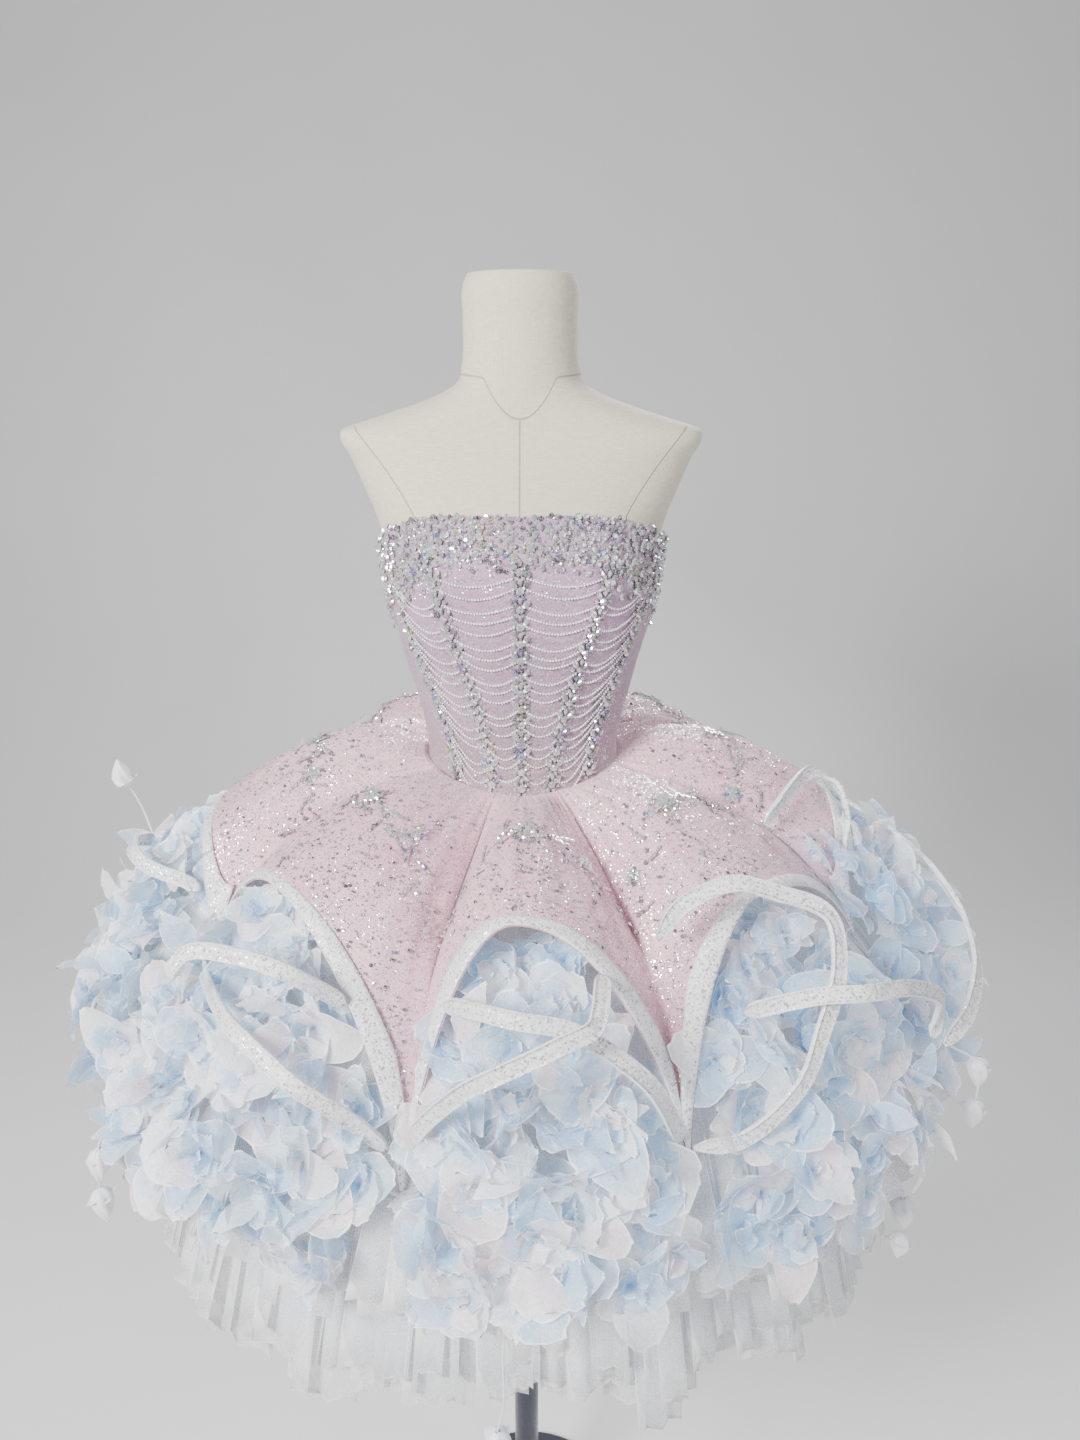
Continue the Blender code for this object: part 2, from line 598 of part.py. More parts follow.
skirts = []
hems = []
for g, name in enumerate(GORES):
    angles = arch_angles(2 * g)[:-1] + arch_angles(2 * g + 1)
    grid = []
    for angle in angles:
        length = 0.0
        before = None
        for step in range(13):
            here = overskirt_point(angle, step / 12)
            if before is not None:
                length += float(np.linalg.norm(here - before))
            before = here
        ahead = overskirt_point(angle - 0.6, 1.0)
        behind = overskirt_point(angle + 0.6, 1.0)
        rise = abs(ahead[2] - behind[2]) / max(math.hypot(ahead[0] - behind[0], ahead[1] - behind[1]), 1e-6)
        if abs(abs(ahead[2] - behind[2])) < 0.02 and arch_weight(angle)[0] > 0.99:
            rise = 9.0
        last = 1.0 - min(BAND_WIDE * math.sqrt(1.0 + rise * rise), 0.042) / length
        shares = [last * j / SKIRT_ROWS for j in range(SKIRT_ROWS + 1)] + [1.0]
        grid.append([overskirt_point(angle, s) for s in shares])
    grid = np.array(grid)
    outward = np.stack([np.sin(np.radians(angles)), -np.cos(np.radians(angles)),
                        np.full(len(angles), 1.2)], axis=1)[:, None, :]
    normal = grid_normals(grid, np.broadcast_to(outward, grid.shape))
    for end, angle in ((0, angles[0]), (-1, angles[-1])):
        plain = normal[end]
        flat = np.array([math.sin(math.radians(angle)), -math.cos(math.radians(angle)), 0.0])
        rise = np.array([0, 0, 1.0])
        mixed = flat * (plain @ flat)[:, None] + rise * (plain @ rise)[:, None]
        normal[end] = mixed / np.linalg.norm(mixed, axis=1, keepdims=True)
    foot = len(ARCH_SHARES) * 2 - 2
    out = np.array([math.sin(math.radians(angles[foot])), -math.cos(math.radians(angles[foot])), 0.3])
    normal[foot, -2:] = out / np.linalg.norm(out)
    for end, angle, way in ((0, angles[0], -1), (-1, angles[-1], 1)):
        sideways = np.array([math.cos(math.radians(angle)), math.sin(math.radians(angle)), 0.0])
        grid[end] = grid[end] + sideways * way * 0.00018
    normal[:, 0] = np.array([0, 0, 1.0])
    outer = grid.copy()
    inner = grid - normal * CLOTH
    skirts.append(wall(name, outer, inner, "overskirt_organza"))
    strip_in = outer[:, -2:] + normal[:, -2:] * 0.0006
    strip_out = strip_in + normal[:, -2:] * BAND_THICK
    hems.append(wall(name.replace("overskirt", "hem_braid"), strip_out, strip_in, "horsehair_braid"))


def hem_value(angle, at):
    return eased(HEMS, 0, at, abs(((angle + 180.0) % 360.0) - 180.0))


PROFILES = {}


def room_under(angle, height):
    """Radius of the overskirt at an angle and height; below its hem a cone opening downwards."""
    name = round(angle % 360.0, 3)
    if name not in PROFILES:
        points = [overskirt_point(angle, k / 16) for k in range(17)]
        PROFILES[name] = [(p[2], math.hypot(p[0], p[1])) for p in points]
    points = PROFILES[name]
    low, wide = points[-1]
    if height <= low:
        return wide + (low - height) * 1.1
    for (z1, r1), (z2, r2) in zip(points[:-1], points[1:]):
        if z2 <= height <= z1:
            return r1 + (r2 - r1) * (z1 - height) / max(z1 - z2, 1e-9)
    return points[0][1]


def fall_point(angle, t, layer, out=0.0):
    """Middle of a tulle layer without its pleats. Layer 0 is the long one, layer 1 the flared one."""
    drop = 0.0062 if layer == 0 else 0.0012
    start = waist_height(angle) - drop
    radius = bodice_radius(angle, start) + 0.0007
    hem_r = hem_value(angle, 1 + 2 * layer)
    hem_z = hem_value(angle, 2 + 2 * layer)
    go = eased(FALL, 0, 1 + 2 * layer, t)
    fall = eased(FALL, 0, 2 + 2 * layer, t)
    r = radius + (hem_r - radius) * go
    z = start + (hem_z - start) * fall
    keep = 0.0
    if layer == 0:
        keep = (CLOTH + 0.0160 + 0.053) * min(1.0, 3 * t)
    if layer == 1:
        keep = CLOTH + 0.0160 * min(1.0, 1.4 * t) + 0.015 * min(1.0, 5 * t)
    most = min(room_under(angle + nudge, z) for nudge in (-8.0, -5.5, -3.0, 0.0, 3.0, 5.5, 8.0)) - keep
    r = min(r, most)
    if layer == 1:
        z -= 0.004 * min(1.0, 4 * t)
    return polar(angle, r + out, z)


tulles = []
for layer, pleats, title in ((0, LONG_PLEATS, "tulle_long"), (1, FLARE_PLEATS, "tulle_flared")):
    rows = 5
    swing = 0.013 if layer == 0 else 0.011
    total = pleats * 2
    starts = [-45, 45, 135, 225]
    for q, place in enumerate(("front", "right", "back", "left")):
        first = round(total * (starts[q] + 45) / 360)
        last = round(total * (starts[q] + 135) / 360)
        outer, inner = [], []
        for c in range(first, last + 1):
            angle = -45 + 360.0 * c / total
            outer.append([])
            inner.append([])
            for j in range(rows + 1):
                t = j / rows
                longer = 1.0 + 0.05 * (wobble((c // 2) % pleats, layer) - 0.5) * (j == rows)
                side = 1 if c % 2 else -1
                depth = side * swing * min(1.0, 1.4 * t) * (0.75 + 0.5 * wobble((c // 2) % pleats, 3))
                here = fall_point(angle, t * longer if j == rows else t, layer)
                ahead = fall_point(angle, min(t + 0.05, 1.0), layer)
                behind = fall_point(angle, max(t - 0.05, 0.0), layer)
                run = ahead - behind
                flat = np.array([math.sin(math.radians(angle)), -math.cos(math.radians(angle)), 0.0])
                out = flat * (-run[2]) + np.array([0, 0, float(run @ flat)])
                out /= np.linalg.norm(out)
                if j == 0:
                    out = np.array([0, 0, 1.0])
                a = here + out * depth
                b = a - out * TULLE * (1.0 if j == 0 else 1.25)
                trim = 0.0
                if c == first:
                    trim = 0.0002
                if c == last:
                    trim = -0.0002
                turn = math.radians(angle)
                sideways = np.array([math.cos(turn), math.sin(turn), 0.0]) * trim
                outer[-1].append(a + sideways)
                inner[-1].append(b + sideways)
        tulles.append(wall(f"{title}_{place}", outer, inner, "tulle_net"))


# ---------------------------------------------------------------- free horsehair loops
def through(rows, steps):
    """Points along a smooth curve through the rows (Catmull-Rom)."""
    pts = np.array([polar(*row) for row in rows])
    pts = np.vstack([2 * pts[0] - pts[1], pts, 2 * pts[-1] - pts[-2]])
    places = np.linspace(0, len(rows) - 1, steps + 1)
    made = []
    for x in places:
        i = min(int(x), len(rows) - 2)
        u = x - i
        p = pts[i:i + 4]
        made.append(0.5 * (2 * p[1] + (p[2] - p[0]) * u + (2 * p[0] - 5 * p[1] + 4 * p[2] - p[3]) * u * u
                           + (3 * p[1] - p[0] - 3 * p[2] + p[3]) * u ** 3))
    return np.array(made)


def tube_rings(path, wide, thick, sides):
    """Rings of an oval tube whose flat side looks away from the axis."""
    rings = []
    for i, here in enumerate(path):
        ahead = path[min(i + 1, len(path) - 1)] - path[max(i - 1, 0)]
        ahead = ahead / np.linalg.norm(ahead)
        away = np.array([here[0], here[1], 0.0])
        away = away / np.linalg.norm(away) + np.array([0, 0, 0.5])
        face = away - ahead * (away @ ahead)
        face = face / np.linalg.norm(face)
        cross = np.cross(ahead, face)
        ring = []
        for k in range(sides):
            turn = 2 * math.pi * (k + 0.5) / sides
            ring.append(here + cross * math.cos(turn) * wide / 1.42 + face * math.sin(turn) * thick / 1.42)
        rings.append(ring)
    return rings


def tube_tree(path):
    """Search tree of a loop's tube, built the way the body is."""
    rings = np.array(tube_rings(path, LOOP_WIDE, LOOP_THICK, 4))
    faces = []
    for r in range(len(path) - 1):
        for k in range(4):
            n = (k + 1) % 4
            faces.append((r * 4 + k, r * 4 + n, (r + 1) * 4 + n, (r + 1) * 4 + k))
    faces.append((0, 1, 2, 3))
    last = 4 * (len(path) - 1)
    faces.append((last, last + 1, last + 2, last + 3))
    return BVHTree.FromPolygons([Vector(p) for p in rings.reshape(-1, 3)], faces)


def lifted(path, tree, keep):
    """Path whose points keep a distance from the outside of the tree's bodies."""
    made = path.copy()
    for i in range(1, len(path) - 1):
        gap = tree.find_nearest(Vector(path[i]))[3]
        fade = min(1.0, i / 3, (len(path) - 1 - i) / 3)
        away = np.array([path[i][0], path[i][1], 0.0])
        away = away / np.linalg.norm(away) + np.array([0, 0, 0.6])
        if gap < keep * fade:
            made[i] = path[i] + away * (keep * fade - gap)
    return made


def seated(path, tree, ends):
    """Path whose named ends sit about half a millimetre off the outside of the tree's bodies."""
    path = path.copy()
    size = len(path)
    for end in ends:
        spot, way, _face, _gap = tree.find_nearest(Vector(path[end]))
        away = np.array([path[end][0], path[end][1], 0.0])
        away /= np.linalg.norm(away)
        push = np.array(way) + away if np.array(way) @ away > 0.0 else away + np.array([0, 0, 0.3])
        push /= np.linalg.norm(push)
        base = path.copy()
        landed = np.array(spot) - path[end]
        met = False
        for step in range(240):
            shift = landed + push * (0.00025 * step - 0.014)
            for i in range(size):
                far = i if end == 0 else size - 1 - i
                fade = max(0.0, 1.0 - far / (0.35 * size))
                path[i] = base[i] + shift * fade * fade * (3 - 2 * fade)
            if tube_tree(path).overlap(tree):
                met = True
            elif met:
                for i in range(size):
                    far = i if end == 0 else size - 1 - i
                    fade = max(0.0, 1.0 - far / (0.35 * size))
                    path[i] = path[i] + push * 0.0006 * fade
                break
    return path


loops = []
for name, rows in LOOPS:
    steps = 2 * (len(rows) - 1) + 1
    path = through(rows, steps)
    ends = (0, -1)
    if name in ("loop_left_over", "loop_left_back"):
        ends = (-1,)
    if name in ("loop_right_over", "loop_right_big"):
        ends = (0,)
    if name == "loop_right_round":
        ends = (-1,)
    path = lifted(path, tree_of(skirts + hems + loops + tulles), 0.010)
    path = seated(path, tree_of(skirts + hems + loops), ends)
    loops.append(stack(name, tube_rings(path, LOOP_WIDE, LOOP_THICK, 4), "horsehair_braid"))


# ---------------------------------------------------------------- flower clusters
def envelope(angle, t, out):
    """Outermost reach of the flared tulle's pleats, moved out."""
    swing = 0.011 * min(1.0, 1.4 * t) * 1.25 + 0.0012
    here = fall_point(angle, t, 1)
    wide = max(np.hypot(*fall_point(angle + nudge, t, 1)[:2]) for nudge in (-3.0, 0.0, 3.0))
    here[:2] *= wide / np.hypot(*here[:2])
    ahead = fall_point(angle, min(t + 0.04, 1.0), 1)
    behind = fall_point(angle, max(t - 0.04, 0.0), 1)
    run = ahead - behind
    flat = np.array([math.sin(math.radians(angle)), -math.cos(math.radians(angle)), 0.0])
    way = flat * (-run[2]) + np.array([0, 0, float(run @ flat)])
    way /= np.linalg.norm(way)
    return here + way * (swing + out), way


def clearance(tree, start, way, wanted, keep):
    """How far a point may go along way before it comes near a body of the tree."""
    hit = tree.ray_cast(Vector(start), Vector(way), wanted + keep)
    if hit[0] is None:
        return wanted
    return max(0.002, min(wanted, hit[3] - keep))


obstacles = tree_of(skirts + hems + loops)
tulle_tree = tree_of(tulles)
ACROSS = 7
DOWN = 5


def heap_grid(row, number, lift):
    """Places on the tulle, the ways out and the wanted heights of one flower heap."""
    _name, top_a, top_b, low_a, low_b, start, finish, heap = row
    base = np.zeros((ACROSS + 1, DOWN + 1, 3))
    ways = np.zeros((ACROSS + 1, DOWN + 1, 3))
    tall = np.zeros((ACROSS + 1, DOWN + 1))
    for i in range(ACROSS + 1):
        x = i / ACROSS
        for j in range(DOWN + 1):
            y = j / DOWN
            left = top_a + (low_a - top_a) * min(1.0, 1.6 * y) ** 0.8
            right = top_b + (low_b - top_b) * min(1.0, 1.6 * y) ** 0.8
            angle = left + (right - left) * x
            base[i, j], ways[i, j] = envelope(angle, start + (finish - start) * y, lift)
            round_off = math.sqrt(max(0.0, 1 - (2 * x - 1) ** 4)) * math.sqrt(max(0.0, 1 - (2 * y - 1) ** 4))
            wanted = 0.006 + heap * round_off * (0.70 + 0.50 * wobble(i, j, number))
            tall[i, j] = clearance(obstacles, base[i, j], ways[i, j], wanted, 0.009)
    return base, ways, tall


def heap_body(base, ways, tall, number, bare):
    """Points and faces of one heap: a plain inside, lumps outside and a pointed petal on every other lump."""
    outer = base + ways * tall[:, :, None]
    high = DOWN + 1
    points = list(outer.reshape(-1, 3)) + list(base.reshape(-1, 3))
    back = (ACROSS + 1) * high
    faces = []
    owners = []
    for i in range(ACROSS):
        for j in range(DOWN):
            k = i + 1
            corners = (i * high + j, k * high + j, k * high + j + 1, i * high + j + 1)
            faces.append(tuple(back + c for c in reversed(corners)))
            owners.append(None)
            centre = sum(points[c] for c in corners) / 4
            normal = np.cross(points[corners[1]] - points[corners[0]], points[corners[3]] - points[corners[0]])
            normal /= np.linalg.norm(normal)
            if normal @ ways[i, j] < 0:
                normal = -normal
            if (i + j) % 2 or (i, j) in bare:
                faces.append(corners)
                owners.append((i, j))
                continue
            long = 0.040 + 0.020 * wobble(i, j, number, 9)
            lean = math.radians(360 * wobble(i, j, number, 13))
            one = points[corners[1]] - points[corners[0]]
            one = one - normal * (one @ normal)
            one /= np.linalg.norm(one)
            two = np.cross(normal, one)
            flat = one * math.cos(lean) + two * math.sin(lean)
            thin = np.cross(normal, flat)
            turns = [math.atan2(float((points[c] - centre) @ thin), float((points[c] - centre) @ flat))
                     for c in corners]
            first = min(range(4), key=lambda q: abs(turns[q] - math.pi / 4))
            spun = (turns[(first + 1) % 4] - turns[first]) % (2 * math.pi) < math.pi
            ring = [corners[(first + q) % 4] for q in range(4)]
            signs = [(1, 1), (-1, 1), (-1, -1), (1, -1)] if spun else [(1, 1), (1, -1), (-1, -1), (-1, 1)]
            slope = thin * (0.7 * wobble(i, j, 17) - 0.35)
            for rise, half, thick in ((0.002, 0.007, 0.0024), (0.55, 0.019, 0.0015)):
                start_at = len(points)
                for sf, st in signs:
                    points.append(centre + (normal + slope) * long * rise + flat * half * sf + thin * thick * st)
                new = [start_at, start_at + 1, start_at + 2, start_at + 3]
                for q in range(4):
                    faces.append((ring[q], ring[(q + 1) % 4], new[(q + 1) % 4], new[q]))
                    owners.append((i, j))
                ring = new
            tip = len(points)
            points.append(centre + (normal + slope * 1.6) * long)
            for q in range(4):
                faces.append((ring[q], ring[(q + 1) % 4], tip))
                owners.append((i, j))
        for j, way in ((0, 1), (DOWN, -1)):
            rim = (i * high + j, back + i * high + j, back + (i + 1) * high + j, (i + 1) * high + j)
            faces.append(rim if way == 1 else rim[::-1])
            owners.append((i, min(j, DOWN - 1)))
    for i in (0, ACROSS):
        for j in range(DOWN):
            faces.append((i * high + j, i * high + j + 1, back + i * high + j + 1, back + i * high + j))
            owners.append((min(i, ACROSS - 1), j))
    return points, faces, owners


def triangles_of(points, faces, owners):
    """The faces split in triangles as (three points, owner, corner numbers)."""
    made = []
    marks = []
    for face, owner in zip(faces, owners):
        for q in range(1, len(face) - 1):
            made.append((face[0], face[q], face[q + 1]))
            marks.append(owner)
    return BVHTree.FromPolygons([Vector(p) for p in points], made), made, marks


clusters = []
for number, row in enumerate(CLUSTERS):
    lift = -0.008
    for _ in range(60):
        base, ways, tall = heap_grid(row, number, lift)
        points, faces, owners = heap_body(base, ways, np.maximum(tall, 0.004), number, {(i, j) for i in range(9)
                                                                                     for j in range(9)})
        if not triangles_of(points, faces, owners)[0].overlap(tulle_tree):
            break
        lift += 0.0004
    bare = set()
    odd = {(i, j) for i in range(ACROSS) for j in range(DOWN) if (i + j) % 2}
    for _ in range(70):
        points, faces, owners = heap_body(base, ways, tall, number, bare)
        tree, made, marks = triangles_of(points, faces, owners)
        touched = {marks[a] for a, _b in tree.overlap(obstacles)}
        if tree.overlap(tulle_tree):
            lift += 0.0008
            base, ways, _same = heap_grid(row, number, lift)
        for a, b in tree.overlap(tree):
            if not set(made[a]) & set(made[b]):
                touched |= {marks[a]}
        touched.discard(None)
        for at, (p, q, r) in enumerate(made):
            if marks[at] is None or marks[at] in touched:
                continue
            middle = Vector((points[p] + points[q] + points[r]) / 3)
            found = obstacles.find_nearest(middle, 0.002)
            if found[0] is not None:
                touched.add(marks[at])
        flat = {(i, j) for i, j in touched if tall[i:i + 2, j:j + 2].max() <= 0.0041 and (i, j) in bare | odd}
        if not touched - flat:
            if not tree.overlap(obstacles) and not tree.overlap(tulle_tree):
                break
            continue
        for i, j in touched:
            if (i + j) % 2 == 0 and (i, j) not in bare:
                bare.add((i, j))
            else:
                for a in (i, i + 1):
                    for b in (j, j + 1):
                        tall[a, b] = max(0.004, tall[a, b] * 0.82)
    for _ in range(30):
        closer = heap_grid(row, number, lift - 0.0003)
        trial = heap_body(closer[0], closer[1], tall, number, bare)
        if triangles_of(*trial)[0].overlap(tulle_tree) or triangles_of(*trial)[0].overlap(obstacles):
            break
        lift -= 0.0003
        points, faces, owners = trial
    made = triangles_of(points, faces, owners)[1]
    clusters.append(solid(row[0], points, made, "petal_organza"))

# ---------------------------------------------------------------- bud sprays
cluster_tree = tree_of(clusters + tulles + loops)


def spray_rings(path, thick):
    rings = []
    for i, here in enumerate(path):
        ahead = path[min(i + 1, len(path) - 1)] - path[max(i - 1, 0)]
        ahead = ahead / np.linalg.norm(ahead)
        side = np.cross(ahead, np.array([0.3, 0.9, 0.1]))
        side /= np.linalg.norm(side)
        other = np.cross(ahead, side)
        rings.append([here + side * math.cos(2 * math.pi * k / 5) * thick[i]
                      + other * math.sin(2 * math.pi * k / 5) * thick[i] for k in range(5)])
    return np.array(rings)


for name, rows in SPRAYS:
    path = np.array([polar(*row[:3]) for row in rows])
    thick = [row[3] for row in rows]
    away = np.array([path[0][0], path[0][1], 0.0])
    away /= np.linalg.norm(away)
    hit = cluster_tree.ray_cast(Vector(path[0] + away * 0.3), Vector(-away), 0.6)
    if hit[0] is not None:
        path = path + (np.array(hit[0]) + away * 0.0005 - path[0])
        for step in range(40):
            rings = spray_rings(path, thick)
            faces = []
            for r in range(len(path) - 1):
                for k in range(5):
                    n = (k + 1) % 5
                    faces.append((r * 5 + k, r * 5 + n, (r + 1) * 5 + n, (r + 1) * 5 + k))
            if not BVHTree.FromPolygons([Vector(p) for p in rings.reshape(-1, 3)], faces).overlap(cluster_tree):
                break
            path[0] += away * 0.0002
            path[1] += away * 0.001
            path[2:] += away * 0.002
    stack(name, spray_rings(path, thick), "bud_silk")

triangles = 0
for made in bpy.data.objects:
    triangles += sum(len(f.vertices) - 2 for f in made.data.polygons)
print("objects", len(bpy.data.objects), "triangles", triangles)
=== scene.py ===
# %% [markdown]
# # A mini prom dress on a dress form
# This lesson dresses a plain CAD frame. The frame holds every piece as a solid with the right place and
# outline; here each piece gets the cloth, the stones, the net and the petals that the eye sees.
# Lengths are in metres, +Z is up, and the front of the dress looks towards -Y.

# %% Open the frame
import math

import bpy
import numpy as np
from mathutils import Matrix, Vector


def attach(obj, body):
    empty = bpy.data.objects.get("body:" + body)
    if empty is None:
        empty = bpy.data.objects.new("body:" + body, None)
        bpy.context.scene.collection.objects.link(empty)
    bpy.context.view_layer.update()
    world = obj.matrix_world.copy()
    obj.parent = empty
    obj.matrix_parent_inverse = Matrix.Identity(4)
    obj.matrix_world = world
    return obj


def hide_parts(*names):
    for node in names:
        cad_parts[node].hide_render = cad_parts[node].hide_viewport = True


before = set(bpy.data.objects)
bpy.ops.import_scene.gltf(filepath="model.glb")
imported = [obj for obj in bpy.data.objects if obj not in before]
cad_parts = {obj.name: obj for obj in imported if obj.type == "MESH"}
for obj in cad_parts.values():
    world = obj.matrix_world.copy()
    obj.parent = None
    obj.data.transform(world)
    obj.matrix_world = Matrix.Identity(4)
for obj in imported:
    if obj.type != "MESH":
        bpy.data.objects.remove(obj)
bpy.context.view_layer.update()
draw = np.random.default_rng(14)

# %% [markdown]
# ## Tables
# The dress is measured in a few short tables: sections of the form, edges and seams of the bodice, the
# feet and arches of the overskirt, and the falls of the net skirts. A smooth reading between the rows
# turns each table into a curve, so one number moves a whole shape.

# %% Tables of the form and the bodice
EASE = 0.0041            # from the form to the outside of the bodice cloth
EDGE_DROP = 0.012        # the bodice runs this far below the waist seam
POLE_RADIUS = 0.0165
# height, half width, depth to the front, depth to the back, squareness
FORM = [
    (1.030, .150, .104, .112, 2.1), (1.036, .158, .110, .118, 2.1), (1.090, .162, .108, .122, 2.1),
    (1.150, .148, .100, .112, 2.1), (1.200, .120, .090, .093, 2.1), (1.235, .103, .084, .081, 2.1),
    (1.262, .099, .082, .078, 2.1), (1.290, .102, .085, .079, 2.1), (1.325, .110, .090, .084, 2.1),
    (1.360, .119, .096, .090, 2.15), (1.395, .128, .103, .096, 2.2), (1.425, .135, .108, .100, 2.25),
    (1.455, .140, .110, .103, 2.3), (1.485, .1425, .105, .105, 2.3), (1.512, .149, .096, .105, 2.3),
    (1.540, .160, .085, .100, 2.3), (1.572, .1735, .072, .085, 2.3), (1.594, .1835, .061, .070, 2.4),
    (1.599, .1815, .059, .067, 2.3), (1.608, .155, .058, .063, 2.2), (1.619, .120, .057, .061, 2.1),
    (1.631, .086, .056, .060, 2.0), (1.643, .065, .0555, .0585, 2.0), (1.658, .0595, .055, .056, 2.0),
    (1.700, .057, .0545, .0545, 2.0), (1.738, .055, .0545, .0545, 2.0), (1.744, .052, .0515, .0515, 2.0),
]
# angle from the centre front, neckline height, waist seam height, depth of the crystal band
EDGES = [
    (0, 1.523, 1.228, .044), (30, 1.521, 1.234, .046), (60, 1.503, 1.243, .070),
    (90, 1.484, 1.250, .078), (130, 1.468, 1.252, .056), (180, 1.464, 1.252, .046),
]
# angle of each bodice seam at the waist, at the neckline: centre front, two princess, side, centre back
SEAMS = [(0.0, 0.0), (14.0, 36.0), (38.0, 65.0), (104.0, 104.0), (178.9, 178.9)]


def cubic(values, slope, i, h, u):
    """Cubic from knot i to the next, from the values and slopes there: h is the step, u the share of it."""
    return ((1 + 2 * u) * (1 - u) ** 2 * values[i] + u * (1 - u) ** 2 * h * slope[i]
            + u * u * (3 - 2 * u) * values[i + 1] + u * u * (u - 1) * h * slope[i + 1])


def read(rows, key, at, where):
    """Cubic through the rows of a table; each slope is the mean slope to the row's neighbours."""
    xs = np.array([row[key] for row in rows], float)
    ys = np.array([row[at] for row in rows], float)
    slope = np.gradient(ys, xs)
    x = np.clip(where, xs[0], xs[-1])
    i = np.clip(np.searchsorted(xs, x) - 1, 0, len(xs) - 2)
    h = xs[i + 1] - xs[i]
    return cubic(ys, slope, i, h, (x - xs[i]) / h)


def around(angle):
    """The same angle between -180 and 180 degrees."""
    return (np.asarray(angle, float) + 180.0) % 360.0 - 180.0


def polar(angle, radius, height):
    """Points at an angle (0 in front, positive to the right), a radius and a height."""
    turn = np.radians(angle)
    return np.stack(np.broadcast_arrays(radius * np.sin(turn), -radius * np.cos(turn), height), -1)


def form_point(height, theta, out=0.0):
    """Rounded rectangle |x/a|^n + |y/b|^n = 1 at each height, with a soft bump for the bust."""
    height, theta = np.broadcast_arrays(np.asarray(height, float), np.asarray(theta, float))
    power = 2.0 / read(FORM, 0, 4, height)
    s, c = np.sin(np.radians(theta)), np.cos(np.radians(theta))
    bust = 0.010 * np.exp(-((np.abs(theta) - 36) / 20) ** 2 - ((height - 1.452) / 0.045) ** 2)
    depth = np.where(c > 0, read(FORM, 0, 2, height), read(FORM, 0, 3, height)) + out + bust
    half = read(FORM, 0, 1, height) + out
    x = half * np.sign(s) * np.abs(s) ** power
    y = -depth * np.sign(c) * np.abs(c) ** power
    return np.stack([x, y, height], -1)


def seam_angle(place, share):
    """Angle of a bodice column: place counts seams, share runs from the waist to the neckline."""
    low = np.array([row[0] for row in SEAMS])
    high = np.array([row[1] for row in SEAMS])
    p = np.abs(place)
    i = np.minimum(p, len(SEAMS) - 2).astype(int)
    first = low[i] + (high[i] - low[i]) * share
    second = low[i + 1] + (high[i + 1] - low[i + 1]) * share
    return np.where(np.asarray(place) < 0, -1, 1) * (first + (second - first) * (p - i))


def bodice_point(place, share, out=0.0):
    """Point of the bodice cloth between its waist edge and its neckline, moved outwards."""
    place, share = np.broadcast_arrays(np.asarray(place, float), np.asarray(share, float))
    theta = seam_angle(place, share)
    low = read(EDGES, 0, 2, np.abs(theta)) - EDGE_DROP
    high = read(EDGES, 0, 1, np.abs(theta))
    return form_point(low + (high - low) * share, theta, EASE + out)


print("waist width of the form:", round(float(form_point(1.262, 90.0)[0]) * 2, 3))

# %% [markdown]
# ## Helpers for meshes
# A surface is a grid of points, and its faces are the grid's squares. Many small things, such as stones
# and beads, are one shape copied to many places, and they join into one mesh so that the scene stays light.

# %% Grids, copies and pieces
def unit(v):
    """Each vector divided by its own length."""
    return v / (np.linalg.norm(v, axis=-1, keepdims=True) + 1e-12)


def run_along(path):
    """Length along a path up to each of its points."""
    return np.concatenate([[0], np.cumsum(np.linalg.norm(np.diff(path, axis=0), axis=1))])


def squares(wide, high, closed=False):
    """Faces of a grid of points [column][row]; closed joins the last column to the first."""
    i = np.arange(wide if closed else wide - 1)[:, None]
    j = np.arange(high - 1)[None, :]
    k = (i + 1) % wide
    return np.stack([i * high + j, k * high + j, k * high + j + 1, i * high + j + 1], -1).reshape(-1, 4)


def normals(grid, outward):
    """Cross product of a grid's two slopes, turned to the side that outward points to."""
    n = unit(np.cross(np.gradient(grid, axis=0), np.gradient(grid, axis=1)))
    return n * np.where((n * outward).sum(-1, keepdims=True) < 0, -1.0, 1.0)


def axes_of(up, along):
    """Turning matrices whose third column is up and whose first lies nearest to along."""
    z = unit(up)
    x = unit(along - z * (along * z).sum(-1, keepdims=True))
    return np.stack([x, np.cross(z, x), z], -1)


def copies(shape, faces, places, axes, sizes):
    """Every copy is place + axes times the shape's points, scaled by its own three sizes."""
    points = places[:, None, :] + np.einsum("nij,nmj->nmi", axes, shape[None] * sizes[:, None, :])
    numbers = faces[None] + (np.arange(len(places)) * len(shape))[:, None, None]
    return points.reshape(-1, 3), numbers.reshape(-1, faces.shape[1])


def joined(*parts):
    """Several (points, faces) pairs as one; a triangle is kept as a list of three."""
    points, faces, start = [], [], 0
    for some, numbers in parts:
        points.append(some)
        faces += (numbers + start).tolist()
        start += len(some)
    return np.concatenate(points), faces


